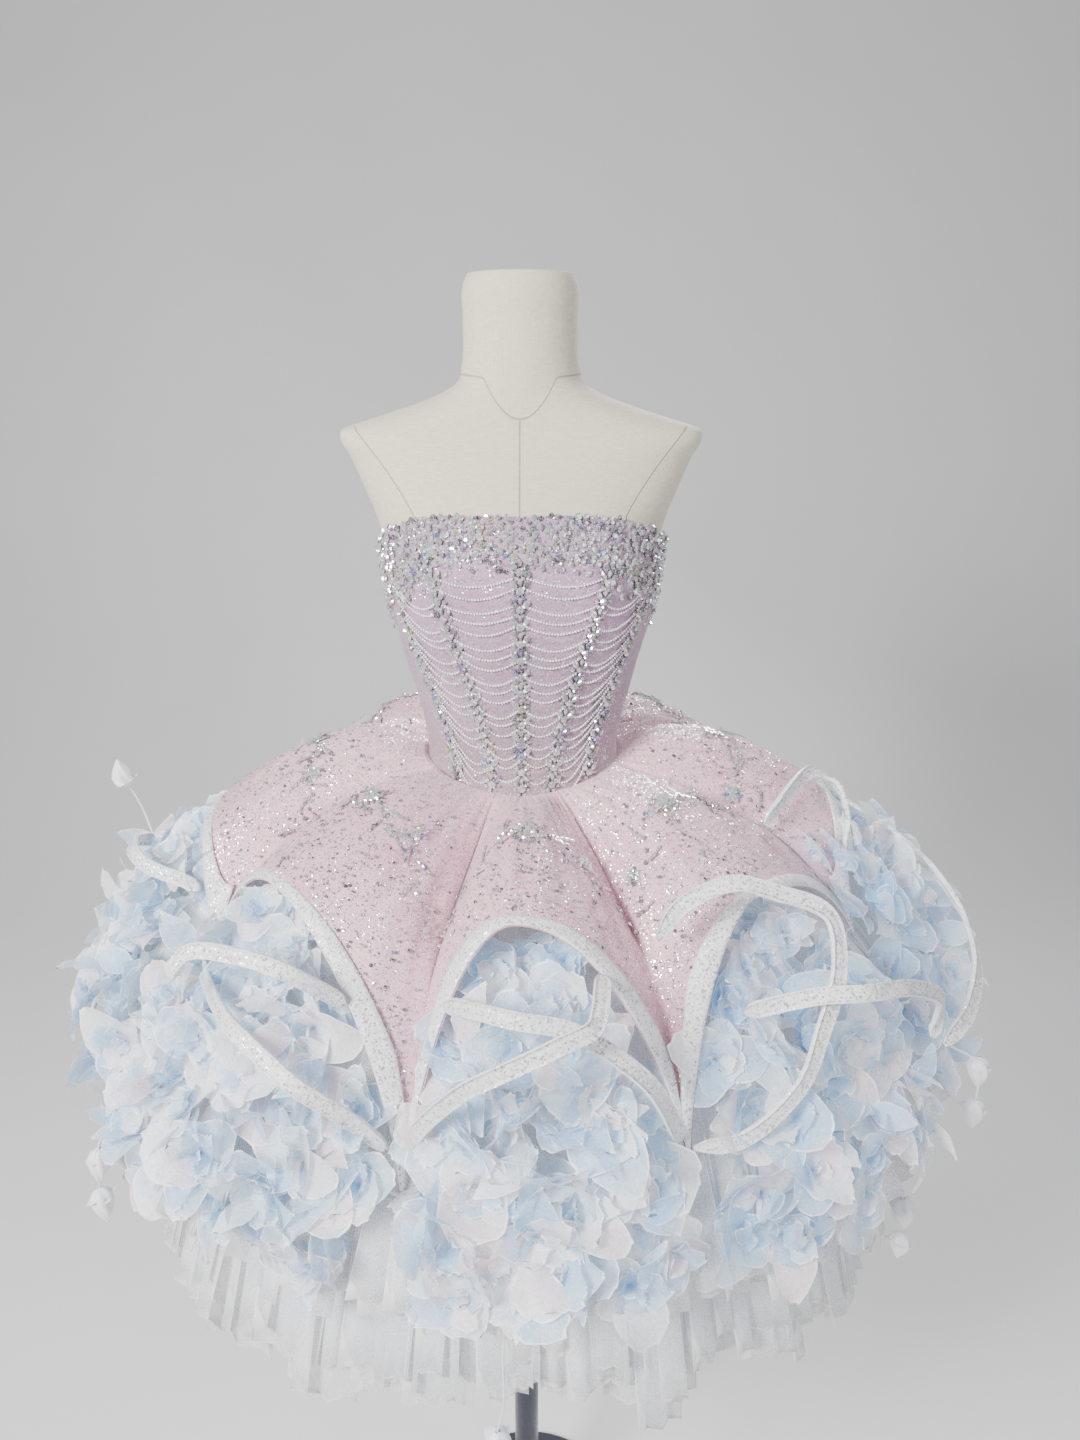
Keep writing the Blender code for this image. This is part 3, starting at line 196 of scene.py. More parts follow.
def make(name, points, faces, paint, slot, stands_for=(), smooth=True, uv=None, **marks):
    """One piece: mesh, material, marks that its material reads, its body and its CAD nodes; slot is not used.
    """
    mesh = bpy.data.meshes.new(name)
    points = np.asarray(points, float).reshape(-1, 3)
    mesh.from_pydata(points.tolist(), [], faces if isinstance(faces, list) else faces.tolist())
    mesh.polygons.foreach_set("use_smooth", [smooth] * len(mesh.polygons))
    if uv is not None:
        corners = np.empty(len(mesh.loops), np.int32)
        mesh.loops.foreach_get("vertex_index", corners)
        layer = mesh.uv_layers.new(name="weave")
        layer.data.foreach_set("uv", np.asarray(uv, np.float32).reshape(-1, 2)[corners].ravel())
    for mark, values in marks.items():
        values = np.asarray(values, np.float32)
        kind = "FLOAT_COLOR" if values.ndim > 1 and values.shape[-1] == 4 else "FLOAT"
        spot = mesh.attributes.new(mark, kind, "POINT")
        spot.data.foreach_set("color" if kind == "FLOAT_COLOR" else "value", values.ravel())
    mesh.materials.append(paint)
    mesh.validate()
    piece = bpy.data.objects.new(name, mesh)
    bpy.context.scene.collection.objects.link(piece)
    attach(piece, "root")
    if stands_for:
        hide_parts(*stands_for)
    print(f"{name}: {len(points)} points, {len(mesh.polygons)} faces")
    return piece


def thicken(piece, wall):
    """Gives a sheet its wall, on the inside of its faces."""
    solid = piece.modifiers.new("wall", "SOLIDIFY")
    solid.thickness = wall
    solid.offset = -1.0
    return piece


def sew(piece):
    """Reads the area of every face of a sheet, and does nothing more with them."""
    mesh = piece.data
    sizes = np.empty(len(mesh.polygons))
    mesh.polygons.foreach_get("area", sizes)


def chance(*numbers):
    """Fixed noise from 0 to 1: the fraction of a large sine of the numbers."""
    total = sum(np.asarray(number, float) * (12.9898 + 65.111 * step) for step, number in enumerate(numbers))
    return (np.sin(total) * 43758.5453) % 1.0


# %% [markdown]
# ## Helpers for materials
# Cloth, stones and net are all one Principled shader each, fed by patterns. The small helpers below
# add a node and wire it, so that a material reads like a recipe: where, which pattern, which colour.

# %% Node helpers
def node(tree, kind, wires=None, **settings):
    """Adds a shader node, sets its settings, and wires or fills its inputs."""
    made = tree.nodes.new("ShaderNode" + kind)
    for key, value in settings.items():
        setattr(made, key, value)
    for key, value in (wires or {}).items():
        if isinstance(value, bpy.types.NodeSocket):
            tree.links.new(value, made.inputs[key])
        else:
            made.inputs[key].default_value = value
    return made


def calc(tree, operation, a, b=0.0, c=0.0):
    """One number from two or three."""
    return node(tree, "Math", {0: a, 1: b, 2: c}, operation=operation).outputs[0]


def mix(tree, share, a, b, blend="MIX"):
    """Colour between a and b by a share."""
    return node(tree, "Mix", {0: share, 6: a, 7: b}, data_type="RGBA", blend_type=blend).outputs[2]


def ramp(tree, value, *stops):
    """Colour ramp through (place, colour) stops; a single number is a grey."""
    made = node(tree, "ValToRGB", {0: value})
    bar = made.color_ramp.elements
    for at, (place, tone) in enumerate(stops):
        spot = bar[at] if at < 2 else bar.new(place)
        spot.position = place
        spot.color = tone if isinstance(tone, tuple) else (tone, tone, tone, 1)
    return made.outputs[0]


def span(tree, value, low, high, to_low=0.0, to_high=1.0):
    """Carries a number over from one range to another and holds it at the ends."""
    return node(tree, "MapRange", {0: value, 1: low, 2: high, 3: to_low, 4: to_high}).outputs[0]


def noise(tree, place, scale, detail=3.0, stretch=(1, 1, 1)):
    """Cloudy noise, stretched along an axis where a thread needs it."""
    moved = node(tree, "Mapping", {"Vector": place, "Scale": stretch}).outputs[0]
    return node(tree, "TexNoise", {"Vector": moved, "Scale": scale, "Detail": detail}).outputs[0]


def recipe(name, rough, **sockets):
    """A new material: its tree, its shader and the piece's own coordinates."""
    made = bpy.data.materials.new(name)
    made.use_nodes = True
    tree = made.node_tree
    shader = tree.nodes["Principled BSDF"]
    shader.inputs["Roughness"].default_value = rough
    for key, value in sockets.items():
        shader.inputs[key.replace("_", " ")].default_value = value
    place = node(tree, "TexCoord").outputs["Object"]
    return made, tree, shader, place


def feed(tree, shader, **wires):
    """Wires sockets of the shader by name."""
    for key, value in wires.items():
        tree.links.new(value, shader.inputs[key.replace("_", " ")])


def flakes(tree, place, size, share, lean, seed=0.0):
    """Each cell of a Voronoi pattern is one flake: share of them shine, and each leans its own way."""
    moved = node(tree, "Mapping", {"Vector": place, "Location": (seed, seed * 1.7, seed * 0.3)}).outputs[0]
    cell = node(tree, "TexVoronoi", {"Vector": moved, "Scale": 1.0 / size}).outputs["Color"]
    luck = node(tree, "SeparateColor", {0: cell}).outputs
    shines = calc(tree, "GREATER_THAN", luck[0], 1.0 - share)
    tilt = node(tree, "VectorMath", {0: cell, 1: (lean,) * 3, 2: (-lean / 2,) * 3},
                operation="MULTIPLY_ADD").outputs[0]
    bent = node(tree, "VectorMath", {0: tilt, 1: node(tree, "NewGeometry").outputs["Normal"]},
                operation="ADD").outputs[0]
    normal = node(tree, "VectorMath", {0: bent}, operation="NORMALIZE").outputs[0]
    return shines, normal, luck


def bump(tree, height, depth, strength=1.0, normal=None):
    """Turns a pattern into relief of a depth in metres."""
    wires = {"Height": height, "Distance": depth, "Strength": strength}
    if normal is not None:
        wires["Normal"] = normal
    return node(tree, "Bump", wires).outputs[0]


def mark(tree, name):
    """A number or colour that the mesh carries at its points."""
    made = node(tree, "Attribute", attribute_name=name)
    return made.outputs


print("helpers ready")

# %% [markdown]
# ## Linen of the dress form
# The form is padded and covered in cream linen. Linen has thick and thin threads, so two noises stretched
# across each other make its slub. The seams are lines of a distance that the mesh carries: a distance
# stays straight between two points, so the line is sharp on a coarse mesh.

# %% Linen and metal
linen, tree, shader, place = recipe("form_linen", 0.86, Sheen_Weight=0.25, Sheen_Roughness=0.5)
warp = noise(tree, place, 1.0, 2.0, (1500, 1500, 110))
weft = noise(tree, place, 1.0, 2.0, (110, 110, 1500))
blot = noise(tree, place, 9.0)
weave = calc(tree, "MULTIPLY", warp, weft)
tone = ramp(tree, weave, (0.10, (.56, .50, .38, 1)), (0.45, (.80, .75, .61, 1)))
tone = mix(tree, ramp(tree, blot, (0.35, 0.0), (0.75, 0.35)), tone, (.66, .61, .49, 1))
line = calc(tree, "MINIMUM", calc(tree, "ABSOLUTE", mark(tree, "seam_front")[2]),
            calc(tree, "ABSOLUTE", mark(tree, "seam_neck")[2]))
line = calc(tree, "MINIMUM", line, calc(tree, "ABSOLUTE", mark(tree, "seam_arm")[2]))
groove = span(tree, line, 0.0002, 0.0013)
tone = mix(tree, groove, (.42, .37, .27, 1), tone)
relief = calc(tree, "ADD", calc(tree, "MULTIPLY", weave, 0.35), groove)
feed(tree, shader, Base_Color=tone, Normal=bump(tree, relief, 0.0012, 0.7))

metal, tree, shader, place = recipe("pole_metal", 0.32, Metallic=0.35, Coat_Weight=0.5, Coat_Roughness=0.18)
speck = noise(tree, place, 420.0, 2.0)
tone = ramp(tree, speck, (0.3, (.012, .014, .028, 1)), (0.8, (.028, .032, .055, 1)))
feed(tree, shader, Base_Color=tone, Roughness=ramp(tree, noise(tree, place, 30.0), (0.3, 0.24), (0.8, 0.42)),
     Normal=bump(tree, speck, 0.00015, 0.25))
print("linen and metal ready")

# %% [markdown]
# ## The dress form and its stand
# The form is a stack of rounded sections, closed flat at the neck and below the hips. The stand is a lathe
# profile: a plate with a rounded rim, a collar, and the pole.

# %% Dress form
heights = np.interp(np.linspace(0, 26, 121), np.arange(27), [row[0] for row in FORM])
turns = np.linspace(-180, 180, 128, endpoint=False)
skin = form_point(heights[None, :], turns[:, None])
lid = [skin[:, -1:] * [q, q, 1] + [0, 0, 0.0004 * (1 - q)] for q in (0.97, 0.8, 0.4, 0.02)]
floor_rings = [skin[:, :1] * [q, q, 1] for q in (0.1, 0.5, 0.9)]
skin = np.concatenate(floor_rings + [skin] + lid, axis=1)
x, y, z = skin[..., 0], skin[..., 1], skin[..., 2]
neck_line = np.minimum(1.610 + 0.030 * (x / 0.031) ** 2, 1.650 - 0.004 * np.cos(x / 0.03))
in_front = y < 0
seam_neck = np.where(in_front, z - neck_line, z - 1.648)
seam_front = np.where(in_front & (z < neck_line), x, 1.0)
arm_line = 0.103 + 0.060 * np.clip((z - 1.518) / 0.082, 0, 1.3) ** 1.2
seam_arm = np.where(z < 1.604, np.abs(x) - arm_line, 1.0)
make("form", skin, squares(128, skin.shape[1], closed=True), linen, "form_linen", ["dress_form"],
     seam_front=seam_front, seam_neck=seam_neck, seam_arm=seam_arm)


# %% Stand
def lathe(profile, sides):
    """Every row (radius, height) of a profile turned round the Z axis."""
    turn = np.linspace(0, 360, sides, endpoint=False)[:, None]
    rows = np.array(profile)
    return polar(turn, rows[None, :, 0], rows[None, :, 1])


plate = [(0.0002, 0), (0.1535, 0), (0.1547, 0.0006), (0.155, 0.002), (0.155, 0.0095), (0.1544, 0.011),
         (0.1525, 0.012), (0.034, 0.0148), (0.0325, 0.016), (0.0265, 0.033), (0.0255, 0.034),
         (0.0168, 0.0342), (0.0002, 0.0342)]
stand = lathe(plate, 128)
make("stand_plate", stand, squares(128, len(plate), closed=True), metal, "pole_metal", ["stand_base"])
rod = [(0.0002, 0.0343), (POLE_RADIUS, 0.0343), (POLE_RADIUS, 0.2), (POLE_RADIUS, 1.0296), (0.0002, 1.0296)]
make("pole", lathe(rod, 64), squares(64, len(rod), closed=True), metal, "pole_metal", ["stand_pole"])

# %% [markdown]
# ## Glitter cloth
# Glitter cloth is woven cloth with thousands of flat flakes glued on, each lying a little askew. So the
# shading normal is bent by a random step per cell, and only some cells are bright metal; the rest is
# pink cloth. Two sizes of flake keep the sparkle from looking like a regular grid.

# %% Glitter cloth of the bodice and sheer organza of the overskirt
def glitter(name, base, deep, shine, size, share, rough, blot_scale, lean, fade=None):
    """Cloth colour with soft blotches, under flakes that are metal where they shine.

    fade is (height, height, colour): full colour at the first height, none at the second.
    """
    made, tree, shader, place = recipe(name, rough, Sheen_Weight=0.3, Sheen_Roughness=0.4)
    cloud = noise(tree, place, blot_scale)
    tone = mix(tree, ramp(tree, cloud, (0.35, 0.0), (0.70, 1.0)), base, deep)
    if fade:
        up = node(tree, "SeparateXYZ", {0: place}).outputs[2]
        low = span(tree, up, fade[0], fade[1], 0.75, 0.0)
        tone = mix(tree, low, tone, fade[2])
    fine, fine_normal, luck = flakes(tree, place, size, share, lean)
    large, _normal, _luck = flakes(tree, place, size * 2.3, share * 0.28, lean, 3.1)
    shines = calc(tree, "MAXIMUM", fine, large)
    hue = ramp(tree, luck[1], (0.0, shine), (0.55, (.95, .93, .97, 1)), (0.82, (.62, .70, .95, 1)),
               (1.0, (.98, .80, .62, 1)))
    dark = calc(tree, "LESS_THAN", luck[2], 0.05)
    tone = mix(tree, calc(tree, "MULTIPLY", dark, 0.45), tone, (.20, .15, .19, 1))
    feed(tree, shader, Base_Color=mix(tree, shines, tone, hue), Metallic=calc(tree, "MULTIPLY", shines, 0.85),
         Roughness=span(tree, shines, 0.0, 1.0, rough, 0.20), Normal=fine_normal)
    return made


bodice_glitter = glitter("bodice_glitter", (.52, .32, .47, 1), (.40, .25, .37, 1), (.98, .88, .97, 1),
                         0.0009, 0.10, 0.6, 14.0, 0.7, (1.25, 1.43, (.34, .26, .27, 1)))
skirt_glitter = glitter("overskirt_glitter", (.84, .55, .63, 1), (.76, .45, .55, 1), (1.0, .95, .97, 1),
                        0.0010, 0.12, 0.55, 8.0, 0.75)
print("glitter ready")

# %% [markdown]
# ## Bodice panels
# Eight panels meet at the seams. Each is a grid between two seams, and its long edges roll in by a
# millimetre, which draws the seam. The bead strings pull the front panels into small ripples.

# %% Cloth of the eight panels
def swag_sag(place):
    """Depth of a bead string below its ends, as a share of the bodice: a parabola between two lines."""
    across = np.abs(place) % 1.0
    return np.where(np.abs(place) < 1, 0.040, 0.066) * 4 * across * (1 - across)


PANEL_COLUMNS, PANEL_ROWS = 22, 64
for side, hand in ((-1, "left"), (1, "right")):
    for k, panel in enumerate(("centre_front", "side_front", "side", "back")):
        across = np.linspace(0.006, 0.994, PANEL_COLUMNS)[:, None]
        share = np.linspace(0.0, 1.0, PANEL_ROWS)[None, :]
        place_at = side * (k + across)
        edge = np.minimum(across, 1 - across)
        roll = -0.0011 * np.exp(-(edge / 0.035) ** 2)
        pucker = 0.0
        if k < 2:
            rows_up = (share + swag_sag(place_at)) * 25.0
            pucker = 0.0016 * np.sin(2 * np.pi * rows_up) * np.clip(edge * 9, 0, 1)
        sway = 0.0004 * np.sin(19 * share + 3 * place_at) * np.clip(edge * 6, 0, 1)
        grid = bodice_point(place_at, share, roll + pucker + sway)
        faces = squares(PANEL_COLUMNS, PANEL_ROWS)
        if side > 0:
            faces = faces[:, ::-1]
        name = f"bodice_{panel}_{hand}"
        piece = make("cloth_" + name, grid, faces, bodice_glitter, "bodice_cloth", [name])
        thicken(piece, 0.0012)
        sew(piece)

# %% [markdown]
# ## Stones
# A cut stone is a ring of corners, a smaller flat table above it and a point below. The same recipe makes
# round stones and long leaf-shaped ones; only the outline changes. Flat shading keeps each facet crisp.

# %% Cut stones, and their material with painted glints
def cut_stone(outline):
    """Facets from the outline at half height to a table 0.56 as wide on top, and a shallow back."""
    ring = np.column_stack([outline, np.zeros(len(outline))])
    table = np.column_stack([outline * 0.56, np.full(len(outline), 0.42)])
    shape = np.vstack([ring, table, [[0, 0, -0.25], [0, 0, 0.44]]])
    many = len(outline)
    k = np.arange(many)
    n = (k + 1) % many
    sides = np.column_stack([k, n, k + many])
    upper = np.column_stack([n, n + many, k + many])
    below = np.column_stack([n, k, np.full(many, 2 * many)])
    above = np.column_stack([k + many, n + many, np.full(many, 2 * many + 1)])
    return shape, np.vstack([sides, upper, below, above])


def ring_of(many):
    """Regular outline of a round stone."""
    turn = 2 * np.pi * np.arange(many) / many
    return np.column_stack([np.cos(turn), np.sin(turn)])


ROUND = cut_stone(ring_of(7))
leaf = np.linspace(-1, 1, 5)
LEAF = cut_stone(np.vstack([np.column_stack([leaf, -0.42 * (1 - leaf ** 2)]),
                            np.column_stack([leaf[-2:0:-1], 0.42 * (1 - leaf[-2:0:-1] ** 2)])]))
BEAD_SHAPE = np.array([[0, 0, 1], [1, 0, 0], [0, 1, 0], [-1, 0, 0], [0, -1, 0], [0, 0, -1],
                       [.6, .6, .55], [-.6, .6, .55], [-.6, -.6, .55], [.6, -.6, .55]], float)
BEAD_FACES = np.array([[0, 9, 6], [0, 6, 7], [0, 7, 8], [0, 8, 9], [9, 1, 6], [6, 2, 7], [7, 3, 8],
                       [8, 4, 9], [6, 1, 2], [7, 2, 3], [8, 3, 4], [9, 4, 1], [5, 2, 1], [5, 3, 2],
                       [5, 4, 3], [5, 1, 4]])

crystal, tree, shader, place = recipe("crystal", 0.05, Metallic=0.62, Coat_Weight=1.0, Coat_Roughness=0.02)
hue = mark(tree, "tint")[0]
# painted glints and painted dark reflections: a fine noise darkens some spots of each stone's colour and
# turns others white
painted_glints = noise(tree, place, 900.0, 1.0)
deep = mix(tree, 1.0, hue, ramp(tree, painted_glints, (0.36, 0.34), (0.52, 1.0)), "MULTIPLY")
feed(tree, shader, Base_Color=mix(tree, ramp(tree, painted_glints, (0.54, 0.0), (0.62, 0.75)), deep, (1, 1, 1, 1)),
     Roughness=ramp(tree, painted_glints, (0.3, 0.03), (0.8, 0.13)))
TINTS = np.array([[.95, .95, .97, 1], [.74, .75, .78, 1], [1.0, .98, .98, 1], [.36, .36, .40, 1],
                  [.46, .38, .80, 1], [.36, .48, .88, 1], [.92, .84, .52, 1], [.20, .19, .21, 1]])
COMMON = np.array([.33, .16, .31, .07, .03, .02, .04, .04])


def tints(stones, corners, odds=COMMON):
    """A colour for every stone, repeated on its corners; most are clear or silver."""
    return np.repeat(TINTS[draw.choice(8, stones, p=odds)], corners, axis=0)


def set_stones(parts, stone, spots, axes, sizes, odds=COMMON):
    """Adds one copy of a stone at every spot, each with a colour of its own."""
    parts.append((copies(*stone, spots, axes, sizes), tints(len(spots), len(stone[0]), odds)))


def make_stones(name, parts, stands_for=()):
    """Joins the stones that were set into one piece."""
    points, faces = joined(*[part[0] for part in parts])
    make(name, points, faces, crystal, "crystals", stands_for, smooth=False,
         tint=np.concatenate([part[1] for part in parts]))


def outward_on_bodice(place, share):
    """Way out of the bodice cloth and the way up along it."""
    here = bodice_point(place, share)
    out = unit(bodice_point(place, share, 0.004) - here)
    rise = unit(bodice_point(place, share + 0.01) - bodice_point(place, share - 0.01))
    return here, out, rise


print("round stone", len(ROUND[1]), "facets, leaf stone", len(LEAF[1]))

# %% [markdown]
# ## Crystal band
# The neckline is crusted with stones of many sizes, set so close that the cloth hardly shows, with an
# uneven top edge. They sit in rows with a random shift, and a second, smaller set fills the gaps.

# %% Stones of the neckline band
def band_places(step_across, rows, low_fade):
    """Rows of stones along the neckline: angle by steps, height by share of the band's depth."""
    across = np.arange(-179.0, 179.0, step_across)
    angle, row = np.meshgrid(across, np.arange(rows), indexing="ij")
    angle = angle + (row % 2) * step_across / 2 + draw.uniform(-0.35, 0.35, angle.shape) * step_across
    angle = np.clip(angle, -178.6, 178.6)
    depth = read(EDGES, 0, 3, np.abs(angle))
    tall = read(EDGES, 0, 1, np.abs(angle)) - read(EDGES, 0, 2, np.abs(angle)) + EDGE_DROP
    down = (row + draw.uniform(-0.3, 0.3, row.shape)) / (rows - 1)
    down = down * (1 + low_fade * draw.uniform(-1, 1, row.shape) * (row == rows - 1))
    share = 0.999 - depth / tall * down
    lows = np.array([s[1] for s in SEAMS]) * 0.98 + np.array([s[0] for s in SEAMS]) * 0.02
    place = np.sign(angle) * np.interp(np.abs(angle), lows, np.arange(5))
    return place.ravel(), share.ravel()


# step in degrees, rows, largest and smallest radius, height above the cloth
LAYERS = [(2.75, 10, .0044, .0024, .0036), (2.5, 11, .0022, .0012, .0024)]
band = []
for step_across, rows, big, small, height in LAYERS:
    place_at, share = band_places(step_across, rows, 0.16)
    here, out, rise = outward_on_bodice(place_at, share)
    many = len(here)
    size = small + (big - small) * draw.random(many) ** 1.6
    turn = draw.uniform(0, 2 * np.pi, many)[:, None]
    side_way = unit(np.cross(out, rise))
    along = rise * np.cos(turn) + side_way * np.sin(turn)
    lean = unit(out + along * draw.uniform(-0.28, 0.28, (many, 1)))
    lift = height * draw.uniform(0.5, 1.25, many)[:, None]
    set_stones(band, ROUND, here + out * lift, axes_of(lean, side_way), size[:, None] * [1, 1, 1.25])
make_stones("crystal_band_stones", band, ["crystal_band"])
base_place = np.linspace(-3.985, 3.985, 200)[:, None]
theta = np.abs(seam_angle(base_place, 1.0))
band_deep = read(EDGES, 0, 3, theta) / (read(EDGES, 0, 1, theta) - read(EDGES, 0, 2, theta) + EDGE_DROP)
base_share = 0.997 - band_deep * np.linspace(1, 0, 8)[None, :]
backing = bodice_point(base_place, base_share, 0.0011)
strip = make("crystal_band_strip", backing, squares(200, 8), bodice_glitter, "bodice_cloth")
sew(thicken(strip, 0.0006))

# %% [markdown]
# ## Crystal lines and bead strings
# Five lines of large stones run down the front seams. Each knot of a line is a round stone with three
# leaf stones that open upwards and four small round ones beside and below it. Between the lines hang
# strings of tiny beads in even swags.

# %% Lines of large stones
# stone, shift across and up the seam, direction across and up, sizes, height above the cloth
KNOT = [
    (ROUND, 0, -.0005, 0, 1, (.0044, .0044, .0062), .0034),
    (LEAF, -.0062, .0050, -.58, .82, (.0060, .0072, .0050), .0026),
    (LEAF, .0062, .0050, .58, .82, (.0060, .0072, .0050), .0026),
    (LEAF, 0, .0082, 0, 1, (.0040, .0052, .0044), .0026),
    (ROUND, -.0068, -.0020, 0, 1, (.0021, .0021, .0030), .0020),
    (ROUND, .0068, -.0020, 0, 1, (.0021, .0021, .0030), .0020),
    (ROUND, -.0030, -.0068, 0, 1, (.0023, .0023, .0034), .0021),
    (ROUND, .0030, -.0068, 0, 1, (.0023, .0023, .0034), .0021),
]
for number, seam in enumerate((-2, -1, 0, 1, 2)):
    theta = abs(float(seam_angle(np.float64(seam), 0.8)))
    tall = float(read(EDGES, 0, 1, theta) - read(EDGES, 0, 2, theta)) + EDGE_DROP
    share = np.arange((EDGE_DROP + 0.014) / tall, 1.0 - (float(read(EDGES, 0, 3, theta)) + 0.004) / tall,
                      0.0178 / tall)
    here, out, rise = outward_on_bodice(np.full(len(share), float(seam)), share)
    side_way = unit(np.cross(out, rise))
    parts = []
    for stone, shift, climb, aside, up, size, height in KNOT:
        spot = here + side_way * shift + rise * climb + out * height
        way = side_way * aside + rise * up
        swell = draw.uniform(0.9, 1.12, (len(here), 1))
        lean = unit(out + side_way * shift * 25)
        set_stones(parts, stone, spot, axes_of(lean, way), np.array([size]) * swell)
    make_stones(f"crystal_line_stones_{number + 1}", parts, [f"crystal_line_{number + 1}"])

# %% Bead strings between the lines
bead, tree, shader, place = recipe("bead", 0.20, Metallic=0.12, Coat_Weight=0.8, Coat_Roughness=0.06)
# painted sheen: a fine noise lightens the beads' colour from pale grey to white in spots
painted_sheen_spots = noise(tree, place, 600.0, 1.0)
feed(tree, shader, Base_Color=ramp(tree, painted_sheen_spots, (0.30, (.80, .76, .80, 1)), (0.50, (.95, .93, .95, 1)),
                                   (0.75, (1.0, 1.0, 1.0, 1))))
ROWS_OF_SWAGS = 18
BEAD_RADIUS, BEAD_STEP = 0.00150, 0.0029
strings = []
for bay in (-2, -1, 0, 1):
    for row in range(ROWS_OF_SWAGS):
        outer_bay = bay in (-2, 1)
        top_share = (0.825 - 0.040 * row) if not outer_bay else (0.800 - 0.040 * row)
        fine = np.linspace(bay + 0.05, bay + 0.95, 200)
        sag = swag_sag(fine) * (1.0 + 0.25 * (chance(bay, row) - 0.5))
        tilt = 0.110 * (fine - bay - 0.5) * (1 if bay == 1 else -1) * outer_bay
        share = np.maximum(top_share - sag + tilt + 0.008 * np.sin(row * 2.1), 0.055)
        path = bodice_point(fine, share, 0.0021)
        run = run_along(path)
        stops = np.interp(np.arange(0.0010, run[-1], BEAD_STEP), run, fine)
        here = bodice_point(stops, np.interp(stops, fine, share), 0.0023)
        out = unit(here * [1, 1, 0])
        size = BEAD_RADIUS * draw.uniform(0.88, 1.15, (len(here), 1)) * [1, 1, 1]
        axes = axes_of(out, np.zeros_like(out) + [0, 0, 1.0])
        strings.append(copies(BEAD_SHAPE, BEAD_FACES, here, axes, size))
points, faces = joined(*strings)
make("bead_strings", points, faces, bead, "crystals")

# %% [markdown]
# ## Zip at the centre back
# The photo shows no back, so the closure is plain: a nylon tape with two rows of fine teeth and a slider
# near the top.

# %% Zip tape, teeth and slider
nylon, tree, shader, place = recipe("zip_nylon", 0.42, Coat_Weight=0.2, Coat_Roughness=0.3)
ribs = noise(tree, place, 1.0, 1.0, (300, 300, 2600))
feed(tree, shader, Base_Color=ramp(tree, ribs, (0.3, (.45, .34, .42, 1)), (0.7, (.68, .56, .64, 1))),
     Normal=bump(tree, ribs, 0.0003, 0.5))
BACK_SEAM = 4.0          # place of the centre back, counted in seams
share = np.linspace(0.0, 0.985, 120)
middle = bodice_point(np.full(120, BACK_SEAM), share)
tape = np.stack([middle * [0, 1, 1] + [dx, dy, 0] for dx, dy in
                 ((-.0024, -.0013), (-.0012, -.0002), (0, .0001), (.0012, -.0002), (.0024, -.0013))])
zip_piece = make("zip_cloth", tape, squares(5, 120)[:, ::-1], nylon, "zip_nylon", ["zip_tape"])
thicken(zip_piece, 0.0006)
BLOCK = np.array([[a, b, c] for c in (-1, 1) for a, b in ((-1, -1), (1, -1), (1, 1), (-1, 1))], float)
BLOCK_FACES = np.array([[3, 2, 1, 0], [4, 5, 6, 7], [0, 1, 5, 4], [1, 2, 6, 5], [2, 3, 7, 6], [3, 0, 4, 7]])
tooth_share = np.arange(0.02, 0.965, 0.0052)
tooth_at = bodice_point(np.full(len(tooth_share), BACK_SEAM), tooth_share) * [0, 1, 1]
shift = np.where(np.arange(len(tooth_at)) % 2, 0.0005, -0.0005)
tooth_at = tooth_at + np.stack([shift, np.full(len(shift), 0.0005), np.zeros(len(shift))], -1)
turned = axes_of(np.zeros_like(tooth_at) + [0, 0, 1.0], np.zeros_like(tooth_at) + [1.0, 0, 0])
teeth = copies(BLOCK, BLOCK_FACES, tooth_at, turned,
               np.full((len(tooth_at), 3), 1.0) * [.0011, .0005, .00042])
make("zip_teeth", teeth[0], teeth[1], nylon, "zip_nylon", smooth=False)
top = bodice_point(BACK_SEAM, 0.80) * [0, 1, 1] + [0, 0.0019, 0]
slider = make("slider", BLOCK * [.0021, .0011, .0042] + top, BLOCK_FACES, crystal, "crystals",
              ["zip_slider"], smooth=False, tint=np.tile(TINTS[1], (8, 1)))
soft_edge = slider.modifiers.new("edge", "BEVEL")
soft_edge.width, soft_edge.segments = 0.0005, 3

# %% [markdown]
# ## Overskirt
# The overskirt falls from the waist to a stiff hem that rises in eight arches and comes down in eight
# feet. Along an arch's top it stands out like a hump; towards a foot it folds into a deep valley. At each
# angle the point is a blend of a ridge curve and a valley curve, and the share of ridge falls to the foot
# like the side of an ellipse.

# %% Tables and surface of the overskirt
# feet of the hem: angle, radius, height
FEET = np.array([(-17, .365, .925), (-66, .350, 1.085), (-113, .362, 1.060), (-158, .366, .965),
                 (-202, .366, .970), (-248, .366, 1.055), (-290, .372, 1.090), (-335, .370, .955)])
# arches after each foot: angle of the top, radius, height, puff above the waist
ARCHES = np.array([(-49, .314, 1.192, .010), (-88, .352, 1.190, .020), (-136, .335, 1.192, .020),
                   (-180, .318, 1.198, .018), (-224, .335, 1.194, .020), (-269, .350, 1.198, .022),
                   (-317, .322, 1.192, .014), (-360.5, .300, 1.200, .006)])
# share of the way: ridge (out, drop), valley (out, drop), puff
RUN = [(0, 0, 0, 0, 0, 0), (.16, .170, .020, .190, .075, .75), (.32, .350, .110, .375, .160, 1.0),
       (.50, .540, .300, .560, .265, .85), (.68, .730, .560, .730, .380, .50),
       (.85, .890, .810, .880, .650, .18), (1, 1, 1, 1, 1, 0)]


def waist_radius(angle, height):
    """Radius of the bodice at an angle: the section's own angle is corrected until it points there."""
    theta = np.array(around(angle))
    for _ in range(7):
        p = form_point(height, theta, EASE)
        theta = around(theta + around(angle - np.degrees(np.arctan2(p[..., 0], -p[..., 1]))))
    return np.hypot(p[..., 0], p[..., 1])


